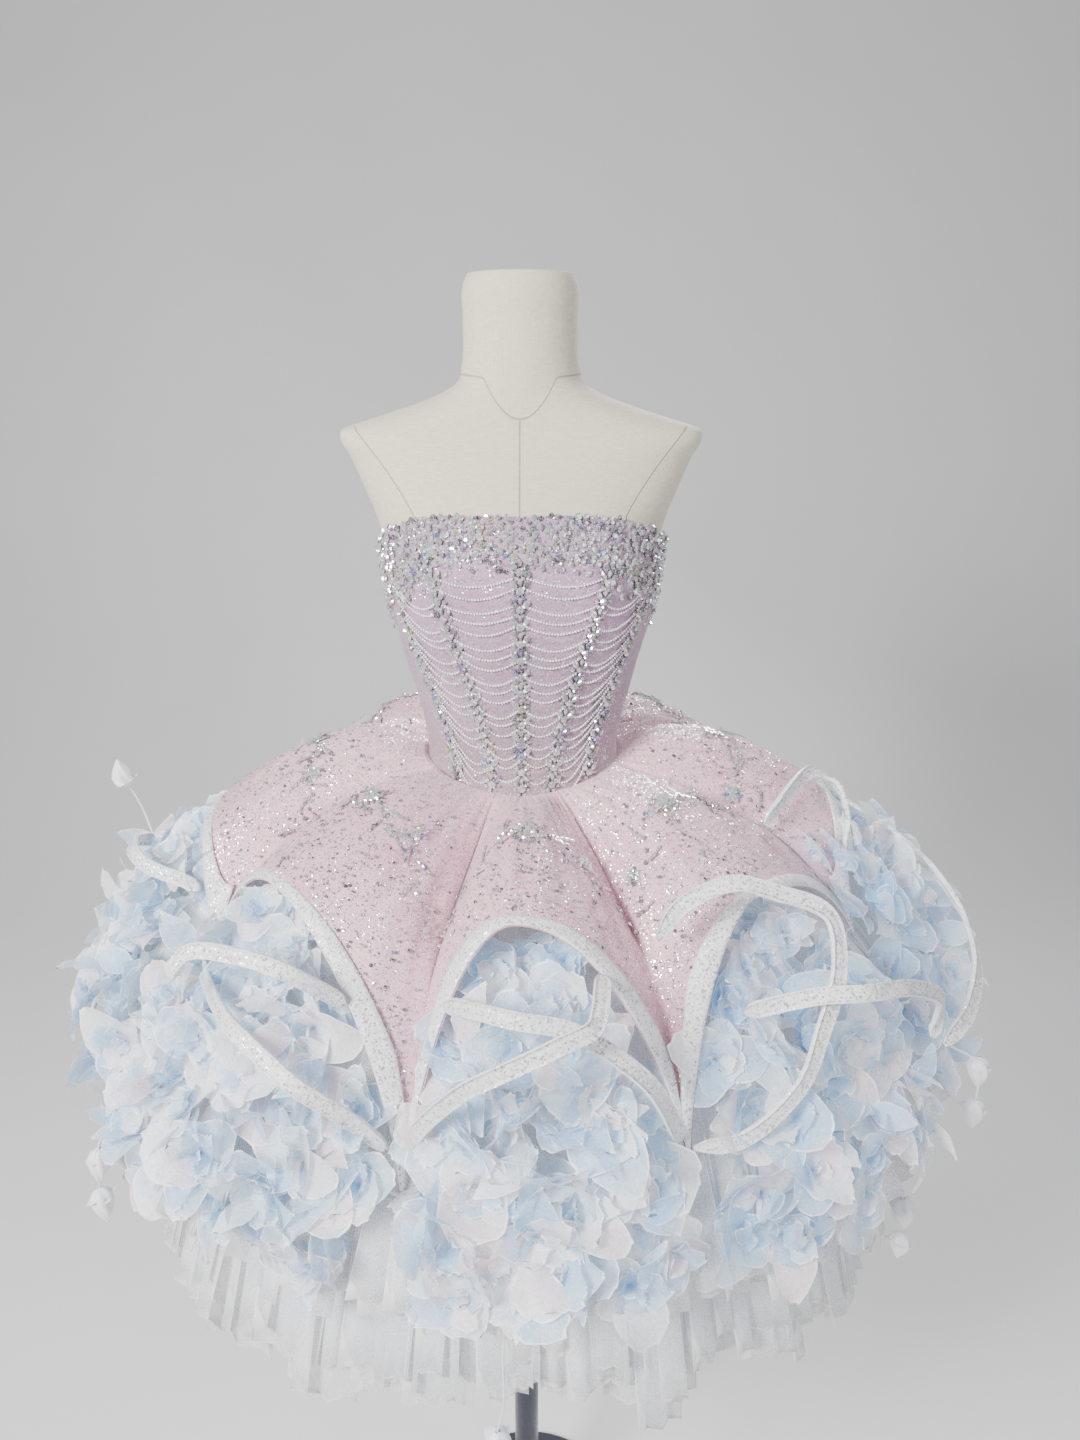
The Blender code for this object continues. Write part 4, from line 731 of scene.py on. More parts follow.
def arch_at(angle):
    """0 on the top of an arch and 1 at a foot, with the rows of that arch and foot."""
    a = (np.asarray(angle, float) + 17.0) % 360.0 - 377.0
    turns = np.append(-FEET[:, 0], 377.0)
    i = np.clip(np.searchsorted(turns, -a) - 1, 0, 7)
    top = ARCHES[i, 0]
    after = a >= top
    edge = np.where(after, -turns[i], -turns[i + 1])
    foot = FEET[np.where(after, i, (i + 1) % 8)]
    return np.clip((a - top) / (edge - top), 0, 1), ARCHES[i], foot


def overskirt(angle, t):
    """Ridge and valley curves blended by w = (1 - x^n)^m; t runs from the waist seam to the hem."""
    angle, t = np.broadcast_arrays(np.asarray(angle, float), np.asarray(t, float))
    x, arch, foot = arch_at(angle)
    w = (1.0 - x ** (2.0 + 1.3 * (1.0 - t) ** 0.7)) ** (1.0 - 0.42 * t * t)
    start = read(EDGES, 0, 2, np.abs(around(angle))) + 0.006
    radius = waist_radius(angle, start) + 0.0008
    r1 = radius + (arch[..., 1] - radius) * read(RUN, 0, 1, t)
    z1 = start + (arch[..., 2] - start) * read(RUN, 0, 2, t) + read(RUN, 0, 5, t) * arch[..., 3]
    r2 = radius + (foot[..., 1] - radius) * read(RUN, 0, 3, t)
    z2 = start + (foot[..., 2] - start) * read(RUN, 0, 4, t)
    return polar(angle, r2 + (r1 - r2) * w, z2 + (z1 - z2) * w)


def gore_angles(g, half_steps):
    """Angles over the two arches of a gore, closer together near the feet."""
    s = np.sin(np.linspace(0, np.pi / 2, half_steps + 1))
    made = []
    for i in (2 * g, 2 * g + 1):
        high, low, top = FEET[i, 0], FEET[(i + 1) % 8, 0], ARCHES[i, 0]
        low = low - 360 if low > high else low
        made += list(top + (high - top) * s[:0:-1]) + list(top + (low - top) * s[:-1])
    return np.array(made + [low + 0.02])


def outward(angle, rise=1.2):
    """Way out and up at an angle."""
    angle = np.asarray(angle, float)
    return polar(angle, np.ones_like(angle), np.full_like(angle, rise))


FOLD = 0.008             # humps stand out and valleys sink by this much, between waist and hem


def worn(angle, t):
    """The overskirt with cos(pi x) sin(pi t)^0.8 more relief: x is 0 on a hump's top and 1 in a valley."""
    angle, t = np.broadcast_arrays(np.asarray(angle, float), np.asarray(t, float))
    relief = FOLD * np.cos(np.pi * arch_at(angle)[0]) * np.sin(np.pi * np.clip(t, 0, 1)) ** 0.8
    return overskirt(angle, t) + unit(outward(angle, 0.9)) * relief[..., None]


print("hem height at the front arch:", overskirt(0.0, 1.0).round(3))

# %% Cloth and braid of the four gores
braid, tree, shader, place = recipe("horsehair_braid", 0.38, Sheen_Weight=0.4, Coat_Weight=0.15)
weave_uv = node(tree, "UVMap", uv_map="weave").outputs[0]
across_uv = node(tree, "SeparateXYZ", {0: weave_uv}).outputs
one_way, other_way = (
    calc(tree, "SINE", calc(tree, "MULTIPLY", calc(tree, how, across_uv[0], across_uv[1]), 2600.0))
    for how in ("ADD", "SUBTRACT"))
hairs = calc(tree, "MAXIMUM", one_way, other_way)
rim = calc(tree, "GREATER_THAN", mark(tree, "rim")[2], 0.86)
fleck, fleck_normal, fleck_luck = flakes(tree, place, 0.0016, 0.12, 0.6)
speckle = calc(tree, "LESS_THAN", fleck_luck[1], 0.11)
tone = mix(tree, span(tree, hairs, -0.2, 1.0), (.76, .75, .79, 1), (.97, .96, .98, 1))
tone = mix(tree, calc(tree, "MULTIPLY", speckle, 0.7), tone, (.16, .15, .19, 1))
tone = mix(tree, fleck, tone, (.97, .97, 1, 1))
tone = mix(tree, rim, tone, (.93, .93, .95, 1))
sheer = calc(tree, "MAXIMUM", span(tree, hairs, -0.4, 0.9, 0.86, 1.0), rim)
feed(tree, shader, Base_Color=tone, Alpha=sheer, Metallic=calc(tree, "MULTIPLY", fleck, 0.6),
     Normal=fleck_normal)

GORES = ["overskirt_left", "overskirt_back", "overskirt_right", "overskirt_front"]
BRAID_WIDE = 0.015
GORE_STEPS, SKIRT_ROWS = 30, 41
for g, name in enumerate(GORES):
    angles = gore_angles(g, GORE_STEPS)
    shares = np.linspace(0, 1, SKIRT_ROWS)
    whole = overskirt(angles[:, None], shares[None, :])
    length = np.linalg.norm(np.diff(whole, axis=1), axis=2).sum(1)
    ahead, behind = overskirt(angles - 0.6, 1.0), overskirt(angles + 0.6, 1.0)
    rise = np.abs(ahead[:, 2] - behind[:, 2]) / np.maximum(np.hypot(*(ahead - behind)[:, :2].T), 1e-6)
    rise = np.where((np.abs(ahead[:, 2] - behind[:, 2]) < 0.02) & (arch_at(angles)[0] > 0.99), 9.0, rise)
    last = 1.0 - np.minimum(BRAID_WIDE * np.sqrt(1 + rise ** 2), 0.042) / length
    way = normals(whole, outward(angles)[:, None, :])
    # soft gathers at the waist, long shallow creases, and a slight quilting from the stiff hem
    t = shares[None, :]
    a = angles[:, None]
    crease = (0.0022 * np.exp(-t / 0.16) * np.sin(a * 1.9 + 2 * np.sin(a * 0.13))
              + 0.0016 * np.sin(np.pi * t) * np.sin(a * 0.61 + 5.0 * t + 1.7 * np.sin(a * 0.21))
              + 0.0009 * np.sin(np.pi * t) * np.sin(a * 1.37 - 9.0 * t))
    keep = np.clip(t * 12, 0, 1) * np.clip((1 - t) * 9, 0, 1)
    cloth = worn(a, t) + way * (crease * keep - 0.0004)[..., None]
    faces = squares(len(angles), SKIRT_ROWS)
    piece = make("cloth_" + name, cloth, faces, skirt_glitter, "overskirt_organza", [name])
    thicken(piece, 0.0009)
    wide = np.linspace(0, 1, 7)[None, :]
    at = last[:, None] + (1 - last[:, None]) * wide
    band_grid = overskirt(angles[:, None], at)
    band_way = np.stack([np.stack([np.interp(at[i], shares, way[i, :, c]) for c in range(3)], -1)
                         for i in range(len(angles))])
    band_grid = band_grid + unit(band_way) * (0.0016 + 0.0012 * np.sin(np.pi * wide))[..., None]
    run = run_along(whole[:, -1])
    uv = np.stack(np.broadcast_arrays(run[:, None], wide * BRAID_WIDE), -1)
    rim_mark = np.broadcast_to(np.abs(2 * wide - 1), at.shape)
    hem = make("braid_" + name[10:], band_grid, squares(len(angles), 7), braid, "horsehair_braid",
               [name.replace("overskirt", "hem_braid")], uv=uv, rim=rim_mark)
    thicken(hem, 0.0014)
    sew(piece)

# %% [markdown]
# ## Sequins and the vine
# Silver sequins are strewn over the overskirt, closer together near the hem. A vine of stones runs round
# it: a wavy line that climbs on each hump and dips into each valley, with sprigs of leaves and small
# six-petalled flowers. Everything is set on the surface by its own angle and share.

# %% Sequins strewn over the overskirt
def on_overskirt(angle, t, lift):
    """Place on the cloth, way out of it and way down along it."""
    here = worn(angle, t)
    side_step = worn(angle - 0.4, t) - worn(angle + 0.4, t)
    down = worn(angle, t + 0.01) - worn(angle, t - 0.01)
    out = unit(np.cross(side_step, down))
    out = out * np.where((out * outward(angle)).sum(-1, keepdims=True) < 0, -1, 1)
    return here + out * lift, out, unit(down)


def strewn(many, low, high, power):
    """Random angles, and shares that crowd towards the high end by a power."""
    angle = draw.uniform(-360, 0, many)
    x = arch_at(angle)[0]
    t = low + (high - low) * draw.random(many) ** power
    kept = x < 0.965
    return angle[kept], t[kept]


angle, t = strewn(5800, 0.08, 0.90, 0.66)
here, out, down = on_overskirt(angle, t, 0.0010)
lean = unit(out + draw.uniform(-0.30, 0.30, out.shape))
size = (0.0007 + 0.0014 * draw.random((len(here), 1)) ** 2) * [1, 1, 0.35]
disc = np.column_stack([ring_of(7), np.zeros(7)])
SEQUIN = np.vstack([disc, [[0, 0, 0.35]]])
SEQUIN_FACES = np.column_stack([np.arange(7), (np.arange(7) + 1) % 7, np.full(7, 7)])
sequins = []
set_stones(sequins, (SEQUIN, SEQUIN_FACES), here, axes_of(lean, down), size,
           np.array([.20, .18, .18, .20, .02, .02, .02, .18]))
make_stones("sequins", sequins)

# %% Vine of stones round the overskirt
vine_angle = np.arange(-360.0, 0.0, 1.15)


def vine_share(angle):
    """Share along the skirt: 0.44 on a hump and 0.59 in a valley, with a small wave of its own."""
    x = arch_at(angle)[0]
    return 0.44 + 0.15 * x ** 2 + 0.035 * np.sin(np.radians(angle) * 27)


share = vine_share(vine_angle)
here, out, down = on_overskirt(vine_angle, share, 0.0014)
along = unit(np.roll(here, -1, 0) - np.roll(here, 1, 0))
side_way = unit(np.cross(out, along))
vine = []
sizes = draw.uniform(0.0022, 0.0030, (len(here), 1)) * [1, 1, 1.2]
set_stones(vine, ROUND, here, axes_of(out, along), sizes)
for side in (-1, 1):
    picked = np.arange(1 if side > 0 else 3, len(here), 4)
    for reach, length in ((0.0062, 0.0044), (0.0122, 0.0052), (0.0190, 0.0042)):
        way = unit(side_way[picked] * side + along[picked] * (0.55 + 20 * reach))
        set_stones(vine, LEAF, here[picked] + way * reach, axes_of(out[picked], way),
                   np.full((len(picked), 1), length) * [1, 1.0, 0.55])
blossom = np.arange(0, len(here), 13)
heart = here[blossom] + side_way[blossom] * 0.012
for petal in range(6):
    turn = 2 * np.pi * petal / 6
    way = along[blossom] * math.cos(turn) + side_way[blossom] * math.sin(turn)
    set_stones(vine, LEAF, heart + way * 0.0055, axes_of(out[blossom], way),
               np.full((len(blossom), 1), 0.0052) * [1, 1.7, .8])
set_stones(vine, ROUND, heart + out[blossom] * 0.001, axes_of(out[blossom], along[blossom]),
           np.full((len(blossom), 3), 0.0040))
make_stones("vine_stones", vine)

# %% [markdown]
# ## Net underskirts
# Two net skirts hold the overskirt up: a long one that falls nearly straight, and a shorter flared one.
# Net is stiff, so its pleats are sharp and its cut edges straight. Over each pleated skirt hang three
# decks of loose strips cut square at the end. Their lengths differ, which gives the hem its broken line.

# %% Fall of the net skirts
# angle, long radius, long height, flared radius, flared height
HEMS = [(0, .335, .722, .372, .850), (25, .350, .715, .385, .845), (60, .405, .708, .450, .885),
        (90, .420, .716, .490, .925), (135, .410, .722, .470, .905), (180, .400, .725, .455, .890)]
# share, long (out, drop), flared (out, drop)
FALL = [(0, 0, 0, 0, 0), (.2, .30, .100, .28, .100), (.4, .55, .270, .53, .270), (.6, .74, .480, .72, .490),
        (.8, .88, .730, .87, .750), (1, 1, 1, 1, 1)]
ROOM_ANGLES = np.arange(-180.0, 181.0, 1.0)
ROOM_HEIGHTS = np.linspace(0.64, 1.28, 161)


def room_table():
    """Radius of the overskirt by angle and height; below its hem a cone that opens downwards."""
    made = []
    for angle in ROOM_ANGLES:
        p = overskirt(np.full(33, angle), np.linspace(0, 1, 33))
        z = np.minimum.accumulate(p[:, 2])
        r = np.hypot(p[:, 0], p[:, 1])
        inside = np.interp(-ROOM_HEIGHTS, -z, r)
        made.append(np.where(ROOM_HEIGHTS < z[-1], r[-1] + (z[-1] - ROOM_HEIGHTS) * 1.1, inside))
    made = np.array(made)[:-1]
    return np.min([np.roll(made, step, axis=0) for step in (-8, -6, -3, 0, 3, 6, 8)], axis=0)


ROOM = room_table()


def room_under(angle, height):
    """The table read between its rows, straight both ways."""
    a = (np.asarray(angle, float) + 180.0) % 360.0
    h = np.clip((height - ROOM_HEIGHTS[0]) / (ROOM_HEIGHTS[1] - ROOM_HEIGHTS[0]), 0, 159.999)
    i, j = np.floor(a).astype(int) % 360, np.floor(h).astype(int)
    u, v, k = a - np.floor(a), h - j, (i + 1) % 360
    return ((ROOM[i, j] * (1 - u) + ROOM[k, j] * u) * (1 - v)
            + (ROOM[i, j + 1] * (1 - u) + ROOM[k, j + 1] * u) * v)


def net_fall(angle, t, layer):
    """Middle of a net skirt: a run out and down from the waist to the hem, kept under the overskirt."""
    angle, t = np.broadcast_arrays(np.asarray(angle, float), np.asarray(t, float))
    seen = np.abs(around(angle))
    start = read(EDGES, 0, 2, seen) - (0.0062, 0.0012)[layer]
    radius = waist_radius(angle, start) + 0.0007
    hem_r, hem_z = read(HEMS, 0, 1 + 2 * layer, seen), read(HEMS, 0, 2 + 2 * layer, seen)
    r = radius + (hem_r - radius) * read(FALL, 0, 1 + 2 * layer, t)
    z = start + (hem_z - start) * read(FALL, 0, 2 + 2 * layer, t)
    if layer == 0:
        keep = 0.071 * np.minimum(1, 3 * t)
    else:
        keep = 0.002 + 0.016 * np.minimum(1, 1.4 * t) + 0.015 * np.minimum(1, 5 * t)
    r = np.minimum(r, room_under(angle, z) - keep)
    return polar(angle, r, z - 0.004 * np.minimum(1, 4 * t) * layer)


def out_of_fall(angle, t, layer):
    """Way out of the skirt: its slope turned by a right angle in the plane through the axis."""
    angle, t = np.broadcast_arrays(np.asarray(angle, float), np.asarray(t, float))
    run = net_fall(angle, np.minimum(t + 0.05, 1), layer) - net_fall(angle, np.maximum(t - 0.05, 0), layer)
    flat = polar(angle, np.ones_like(angle), np.zeros_like(angle))
    rise = np.zeros_like(run)
    rise[..., 2] = (run * flat).sum(-1)
    return unit(flat * (-run[..., 2:3]) + rise)


# %% Net and its skirts
net, tree, shader, place = recipe("tulle_net", 0.62, Sheen_Weight=0.6, Sheen_Roughness=0.35)
cells = node(tree, "TexVoronoi", {"Vector": place, "Scale": 520.0}, feature="DISTANCE_TO_EDGE").outputs[0]
thread = span(tree, cells, 0.05, 0.22, 1.0, 0.0)
hem_edge = calc(tree, "GREATER_THAN", mark(tree, "edge")[2], 0.965)
cloud = noise(tree, place, 14.0)
tone = ramp(tree, cloud, (0.30, (.84, .88, .94, 1)), (0.55, (.93, .94, .97, 1)), (0.80, (.98, .97, .98, 1)))
tone = mix(tree, hem_edge, tone, (1, 1, 1, 1))
open_net = calc(tree, "MULTIPLY_ADD", thread, 0.42, 0.26)
# painted glow: the net gives off a faint light of its own colour, though it is no lamp
shader.inputs["Emission Strength"].default_value = 0.10
feed(tree, shader, Base_Color=tone, Emission_Color=tone,
     Alpha=calc(tree, "MAXIMUM", open_net, calc(tree, "MULTIPLY", hem_edge, 0.9)),
     Normal=bump(tree, thread, 0.0003, 0.3))

for layer, pleats, title, swing in ((0, 32, "tulle_long", .013), (1, 28, "tulle_flared", .011)):
    total = pleats * 2
    for q, quarter in enumerate(("front", "right", "back", "left")):
        first = round(total * q * 90 / 360)
        columns = np.linspace(first, first + total // 4, total // 4 * 6 + 1)
        angle = (-45 + 360.0 * columns / total)[:, None]
        t = np.linspace(0, 1, 26)[None, :]
        pair = np.round(columns / 2).astype(int)[:, None] % pleats
        wave = -np.cos(np.pi * columns)[:, None]
        sharp = np.sign(wave) * np.abs(wave) ** 0.8
        depth = sharp * swing * np.minimum(1, 1.4 * t) * (0.78 + 0.4 * chance(pair, 3))
        lean = 0.6 * np.sin(pair * 2.3) * t ** 2
        longer = 1.0 + 0.035 * (chance(pair, layer) - 0.5) * t ** 6
        here = net_fall(angle + lean, np.minimum(t * longer, 1.02), layer)
        away = out_of_fall(angle, np.broadcast_to(t, here.shape[:2]), layer)
        grid = here + away * (depth - 0.0008)[..., None]
        parts = [(grid.reshape(-1, 3), squares(*grid.shape[:2]))]
        edges = [np.broadcast_to(1 - 6 * (1 - t), grid.shape[:2]).ravel()]
        # loose strips over the lower part, cut square
        strips = 20 if layer == 0 else 16
        for deck in range(3):
            centre = np.linspace(-45 + 90 * q, 45 + 90 * q, strips, endpoint=False) + 2.0 + 1.2 * deck
            for s, mid in enumerate(centre):
                luck = chance(s, deck + 1, q + 3 * layer)
                half = (1.7 + 2.6 * luck) * (1.15 - 0.2 * layer)
                across = np.linspace(-1, 1, 5)[:, None]
                begin = 0.36 + 0.24 * chance(s, deck, 5 + layer)
                finish = 0.90 + 0.10 * chance(s, 2 + deck, q) + 0.016 * (luck - 0.5) * across
                down = np.linspace(0, 1, 12)[None, :]
                along = begin + (finish - begin) * down
                spin = 0.0110 * np.sin(2.2 * down * np.pi * (luck - 0.3) + s) * across * down
                fold = 0.0050 * np.cos(across * np.pi * (1.0 + luck)) * down
                mid_shift = 4.4 * (chance(s, deck, 9) - 0.5) * down
                at = mid + mid_shift + half * across
                base = net_fall(at, along, layer)
                stand_off = 0.016 * chance(s, deck, 7, q) * down ** 2
                lift = (swing * (0.72 + 0.16 * deck) * np.minimum(1, 3 * down)
                        + 0.001 + spin + fold + stand_off)
                strip_grid = base + out_of_fall(at, along, layer) * lift[..., None]
                strip_grid[..., 2] -= (0.058 - 0.024 * layer) * chance(s, deck, 4, q) ** 1.5 * down ** 3
                parts.append((strip_grid.reshape(-1, 3), squares(5, 12)))
                edges.append(np.broadcast_to(np.maximum(1 - 6 * (1 - down), np.abs(across)), (5, 12)).ravel())
        points, faces = joined(*parts)
        name = f"{title}_{quarter}"
        piece = make("net_" + name[6:], points, faces, net, "tulle_net", [name], edge=np.concatenate(edges))
        thicken(piece, 0.0004)
        sew(piece)

# %% [markdown]
# ## Free loops of horsehair
# Nine bands of horsehair braid spring free of the hem. A band is a flat profile with a round cord in each
# edge, carried along a smooth path. The path's points come from the frame, in millimetres.

# %% Paths of the loops
LOOPS = {
    "loop_cross_rising": [(-100, -338, 1000), (-81, -356, 1039), (-41, -394, 1103), (-21, -406, 1123),
                          (21, -408, 1147), (38, -404, 1154), (61, -391, 1158), (67, -372, 1159),
                          (72, -328, 1157), (74, -307, 1156)],
    "loop_cross_falling": [(-65, -315, 1128), (-52, -332, 1140), (-20, -366, 1155), (-1, -377, 1157),
                           (39, -377, 1149), (60, -376, 1138), (99, -374, 1105), (116, -367, 1081),
                           (137, -344, 1028), (146, -333, 1002)],
    "loop_right_big": [(156, -334, 995), (201, -333, 1004), (247, -334, 1060), (261, -335, 1117),
                       (274, -321, 1172), (268, -299, 1210), (222, -291, 1227), (186, -288, 1234),
                       (142, -291, 1214), (122, -294, 1182)],
    "loop_right_over": [(198, -313, 1121), (214, -322, 1133), (256, -337, 1154), (288, -342, 1159),
                        (331, -315, 1147), (350, -299, 1137), (383, -271, 1112), (391, -261, 1097),
                        (391, -259, 1073), (386, -265, 1062)],
    "loop_right_round": [(401, -260, 1050), (431, -232, 1061), (444, -213, 1068), (463, -171, 1084),
                         (467, -131, 1102), (464, -110, 1115), (446, -63, 1140), (410, -17, 1165),
                         (389, 3, 1175), (353, 33, 1192)],
    "loop_right_arch": [(344, -100, 1165), (347, -84, 1180), (351, -70, 1196), (346, -40, 1222),
                        (337, -34, 1231), (323, -39, 1240), (309, -49, 1244), (279, -85, 1235),
                        (264, -101, 1224), (250, -115, 1213)],
    "loop_left_over": [(-310, -289, 1138), (-308, -288, 1149), (-294, -288, 1165), (-280, -289, 1169),
                       (-248, -299, 1170), (-233, -305, 1170), (-203, -314, 1164), (-189, -313, 1155),
                       (-166, -301, 1131), (-156, -295, 1117)],
    "loop_left_fall": [(-329, -142, 1092), (-315, -184, 1099), (-301, -230, 1106), (-257, -307, 1107),
                       (-233, -329, 1100), (-209, -346, 1089), (-188, -357, 1077), (-150, -353, 1044),
                       (-132, -345, 1020), (-117, -338, 995)],
    "loop_left_back": [(-420, -15, 1150), (-425, -28, 1156), (-430, -42, 1161), (-427, -57, 1164),
                       (-421, -74, 1165), (-411, -87, 1162), (-398, -98, 1158), (-378, -108, 1154),
                       (-356, -114, 1149), (-336, -119, 1141)],
}


def smooth_path(rows, steps):
    """Catmull-Rom curve: between two points the tangents are half the step between their neighbours."""
    p = np.array(rows, float) / 1000.0
    gap = np.linalg.norm(np.diff(p, axis=0), axis=1) ** 0.5
    knots = np.concatenate([[0], np.cumsum(gap)])
    slope = np.stack([np.gradient(p[:, c], knots) for c in range(3)], -1)
    x = np.linspace(0, knots[-1], steps)
    i = np.clip(np.searchsorted(knots, x) - 1, 0, len(p) - 2)
    h = (knots[i + 1] - knots[i])[:, None]
    return cubic(p, slope, i, h, (x - knots[i])[:, None] / h)


def band_along(path, wide, thick, roll):
    """Flat profile with a round cord in each edge, turned to face away from the dress, carried along."""
    ahead = unit(np.gradient(path, axis=0))
    away = unit(path * [1, 1, 0]) + [0, 0, 0.5]
    face = unit(away - ahead * (away * ahead).sum(-1, keepdims=True))
    cross = np.cross(ahead, face)
    turn = np.radians(roll)[:, None]
    face, cross = face * np.cos(turn) + cross * np.sin(turn), cross * np.cos(turn) - face * np.sin(turn)
    flat = np.array([-1.0, -0.97, -0.90, -0.82, -0.4, 0.0, 0.4, 0.82, 0.90, 0.97])
    top = np.array([0.0, 0.80, 1.0, 0.42, 0.62, 0.75, 0.62, 0.42, 1.0, 0.80])
    profile = np.concatenate([np.stack([flat, top], -1), np.stack([-flat, -top], -1)])
    share = np.linspace(0, 1, len(path))
    taper = np.sqrt(np.clip(np.minimum(share, 1 - share) / 0.05, 0.06, 1))[None, :, None]
    grid = (path[None] + cross[None] * profile[:, 0, None, None] * taper * wide / 2
            + face[None] * profile[:, 1, None, None] * taper * thick / 2)
    run = run_along(path)
    uv = np.stack(np.broadcast_arrays(run[None, :], (profile[:, 0] * wide / 2)[:, None]), -1)
    rim = np.broadcast_to(np.abs(profile[:, :1]), grid.shape[:2])
    ends = [list(range(0, grid.shape[0] * grid.shape[1], grid.shape[1]))]
    ends.append([i + grid.shape[1] - 1 for i in ends[0]][::-1])
    faces = squares(*grid.shape[:2], closed=True)[:, ::-1].tolist() + ends
    return grid, faces, uv, rim, run[-1]


# %% Bands of the loops
LOOP_STEPS, LOOP_THICK = 72, 0.0052
for number, (name, rows) in enumerate(LOOPS.items()):
    path = smooth_path(rows, LOOP_STEPS)
    roll = 14 * np.sin(np.linspace(0, 5 + number % 3, LOOP_STEPS) + number)
    grid, faces, uv, rim_mark, length = band_along(path, BRAID_WIDE, LOOP_THICK, roll)
    piece = make("band_" + name, grid, faces, braid, "horsehair_braid", [name], uv=uv, rim=rim_mark)
    print(name, "length", round(float(length), 3))

# %% [markdown]
# ## Organza flowers
# The mouths of the arches are packed with flowers of sheer organza, pale blue, white and blush. A petal
# is a small grid: its width follows a sine to a point, it cups across, curls along, and its edge ruffles.
# Every petal of a heap has its own size, lean and colour, so that no two look alike.

# %% Petal organza
organza, tree, shader, place = recipe("petal_organza", 0.42, Sheen_Weight=0.7, Sheen_Roughness=0.3,
                                      Coat_Weight=0.12, Coat_Roughness=0.35)
own = mark(tree, "tint")[0]
along_mark = mark(tree, "along")[2]
side_mark = calc(tree, "ABSOLUTE", mark(tree, "across")[2])
vein = noise(tree, place, 1.0, 2.0, (900, 900, 900))
pale = mix(tree, span(tree, along_mark, 0.2, 1.0, 0.0, 0.40), own, (.97, .98, 1, 1))
cut_edge = calc(tree, "MAXIMUM", calc(tree, "GREATER_THAN", side_mark, 0.93),
                calc(tree, "GREATER_THAN", along_mark, 0.965))
pale = mix(tree, calc(tree, "MULTIPLY", cut_edge, 0.75), pale, (.98, .98, 1, 1))
# painted glints: a few flake cells turn the petal colour plain white
glint, glint_normal, _luck = flakes(tree, place, 0.0013, 0.06, 0.5)
pale = mix(tree, glint, pale, (1, 1, 1, 1))
see = calc(tree, "MAXIMUM", calc(tree, "MULTIPLY_ADD", vein, 0.42, 0.40),
           calc(tree, "MULTIPLY", cut_edge, 0.9))
# painted glow: a faint emission of the petal colour stands in for light that has passed through many thin
# layers
shader.inputs["Emission Strength"].default_value = 0.10
feed(tree, shader, Base_Color=pale, Alpha=see, Emission_Color=pale,
     Normal=bump(tree, vein, 0.0004, 0.35, glint_normal))
PETAL_TINTS = np.array([[.40, .68, .99, 1], [.56, .79, 1.0, 1], [.86, .94, 1.0, 1], [1.0, .82, .88, 1],
                        [1.0, .98, 1.0, 1], [.32, .62, .98, 1]])
PETAL_ODDS = [.24, .25, .18, .12, .13, .08]
PETAL_LONG, PETAL_WIDE = 8, 7
PETAL_POINTS = PETAL_LONG * PETAL_WIDE


def petals(places, axes, length, width, open_angle, seed):
    """Grid (u along, v across): bends open along u, as wide as a power of sin(pi u^0.85), edges ruffle."""
    many = len(places)
    u = np.linspace(0.0, 1.0, PETAL_LONG)[None, :, None]
    v = np.linspace(-1, 1, PETAL_WIDE)[None, None, :]
    L = length[:, None, None]
    W = width[:, None, None]
    lean = np.radians(open_angle)[:, None, None] * (0.35 + 0.65 * u)
    curl = seed[:, None, None]
    half = W * (np.sin(np.pi * np.clip(u, 0.02, 0.985) ** 0.85) ** (0.36 + 0.70 * curl ** 2)) + 0.0006
    cup = 0.30 * W * v ** 2 * (1 - 0.6 * u)
    ruffle = 0.24 * W * np.abs(v) ** 1.5 * u ** 0.7 * np.sin(v * 5 + u * (9 + 6 * curl) + 40 * curl)
    tip = 0.10 * L * u ** 3 * (2 * ((curl * 7) % 1.0) - 1)
    out = L * u * np.sin(lean) + ruffle * np.cos(lean) + tip
    up = L * u * np.cos(lean) * (1 - 0.12 * u) + cup * np.sin(lean)
    local = np.stack(np.broadcast_arrays(out, half * v, up), -1).reshape(many, -1, 3)
    points = places[:, None, :] + np.einsum("nij,nmj->nmi", axes, local)
    faces = squares(PETAL_LONG, PETAL_WIDE)[None] + (np.arange(many) * PETAL_POINTS)[:, None, None]
    marks = [np.broadcast_to(way, (many, PETAL_LONG, PETAL_WIDE)).ravel() for way in (u, v)]
    return points.reshape(-1, 3), faces.reshape(-1, 4), marks


def add_petals(heap, places, up, turn, length, width, open_angle, seed):
    """Adds a petal at every place, turned about its own up, with its marks and a colour of its own."""
    base = axes_of(up, np.tile([0.31, 0.17, 0.93], (len(up), 1)))
    spin = base[:, :, 0] * np.cos(turn)[:, None] + base[:, :, 1] * np.sin(turn)[:, None]
    axes = np.stack([spin, np.cross(up, spin), up], -1)
    points, faces, marks = petals(places, axes, length, width, open_angle, seed)
    shade = PETAL_TINTS[draw.choice(6, len(places), p=PETAL_ODDS)]
    heap.append((points, faces, *marks, np.repeat(shade, PETAL_POINTS, axis=0)))


# %% Heaps of flowers in the arches
# name, left and right angle of the top row, of the bottom row, shares along the flared net, depth
HEAPS = [("flowers_front", -9, 11, -15, 21, .37, .95, .052),
         ("flowers_left_front", -56, -38, -63, -21, .39, .94, .066),
         ("flowers_left", -101, -73, -107, -69, .38, .93, .060),
         ("flowers_left_back", -144, -125, -149, -119, .46, .93, .056),
         ("flowers_back", -188, -170, -198, -162, .48, .93, .052),
         ("flowers_right_back", -233, -212, -242, -209, .46, .93, .056),
         ("flowers_right", -288, -256, -294, -252, .38, .93, .062),
         ("flowers_right_front", -325, -304, -331, -298, .39, .94, .066)]


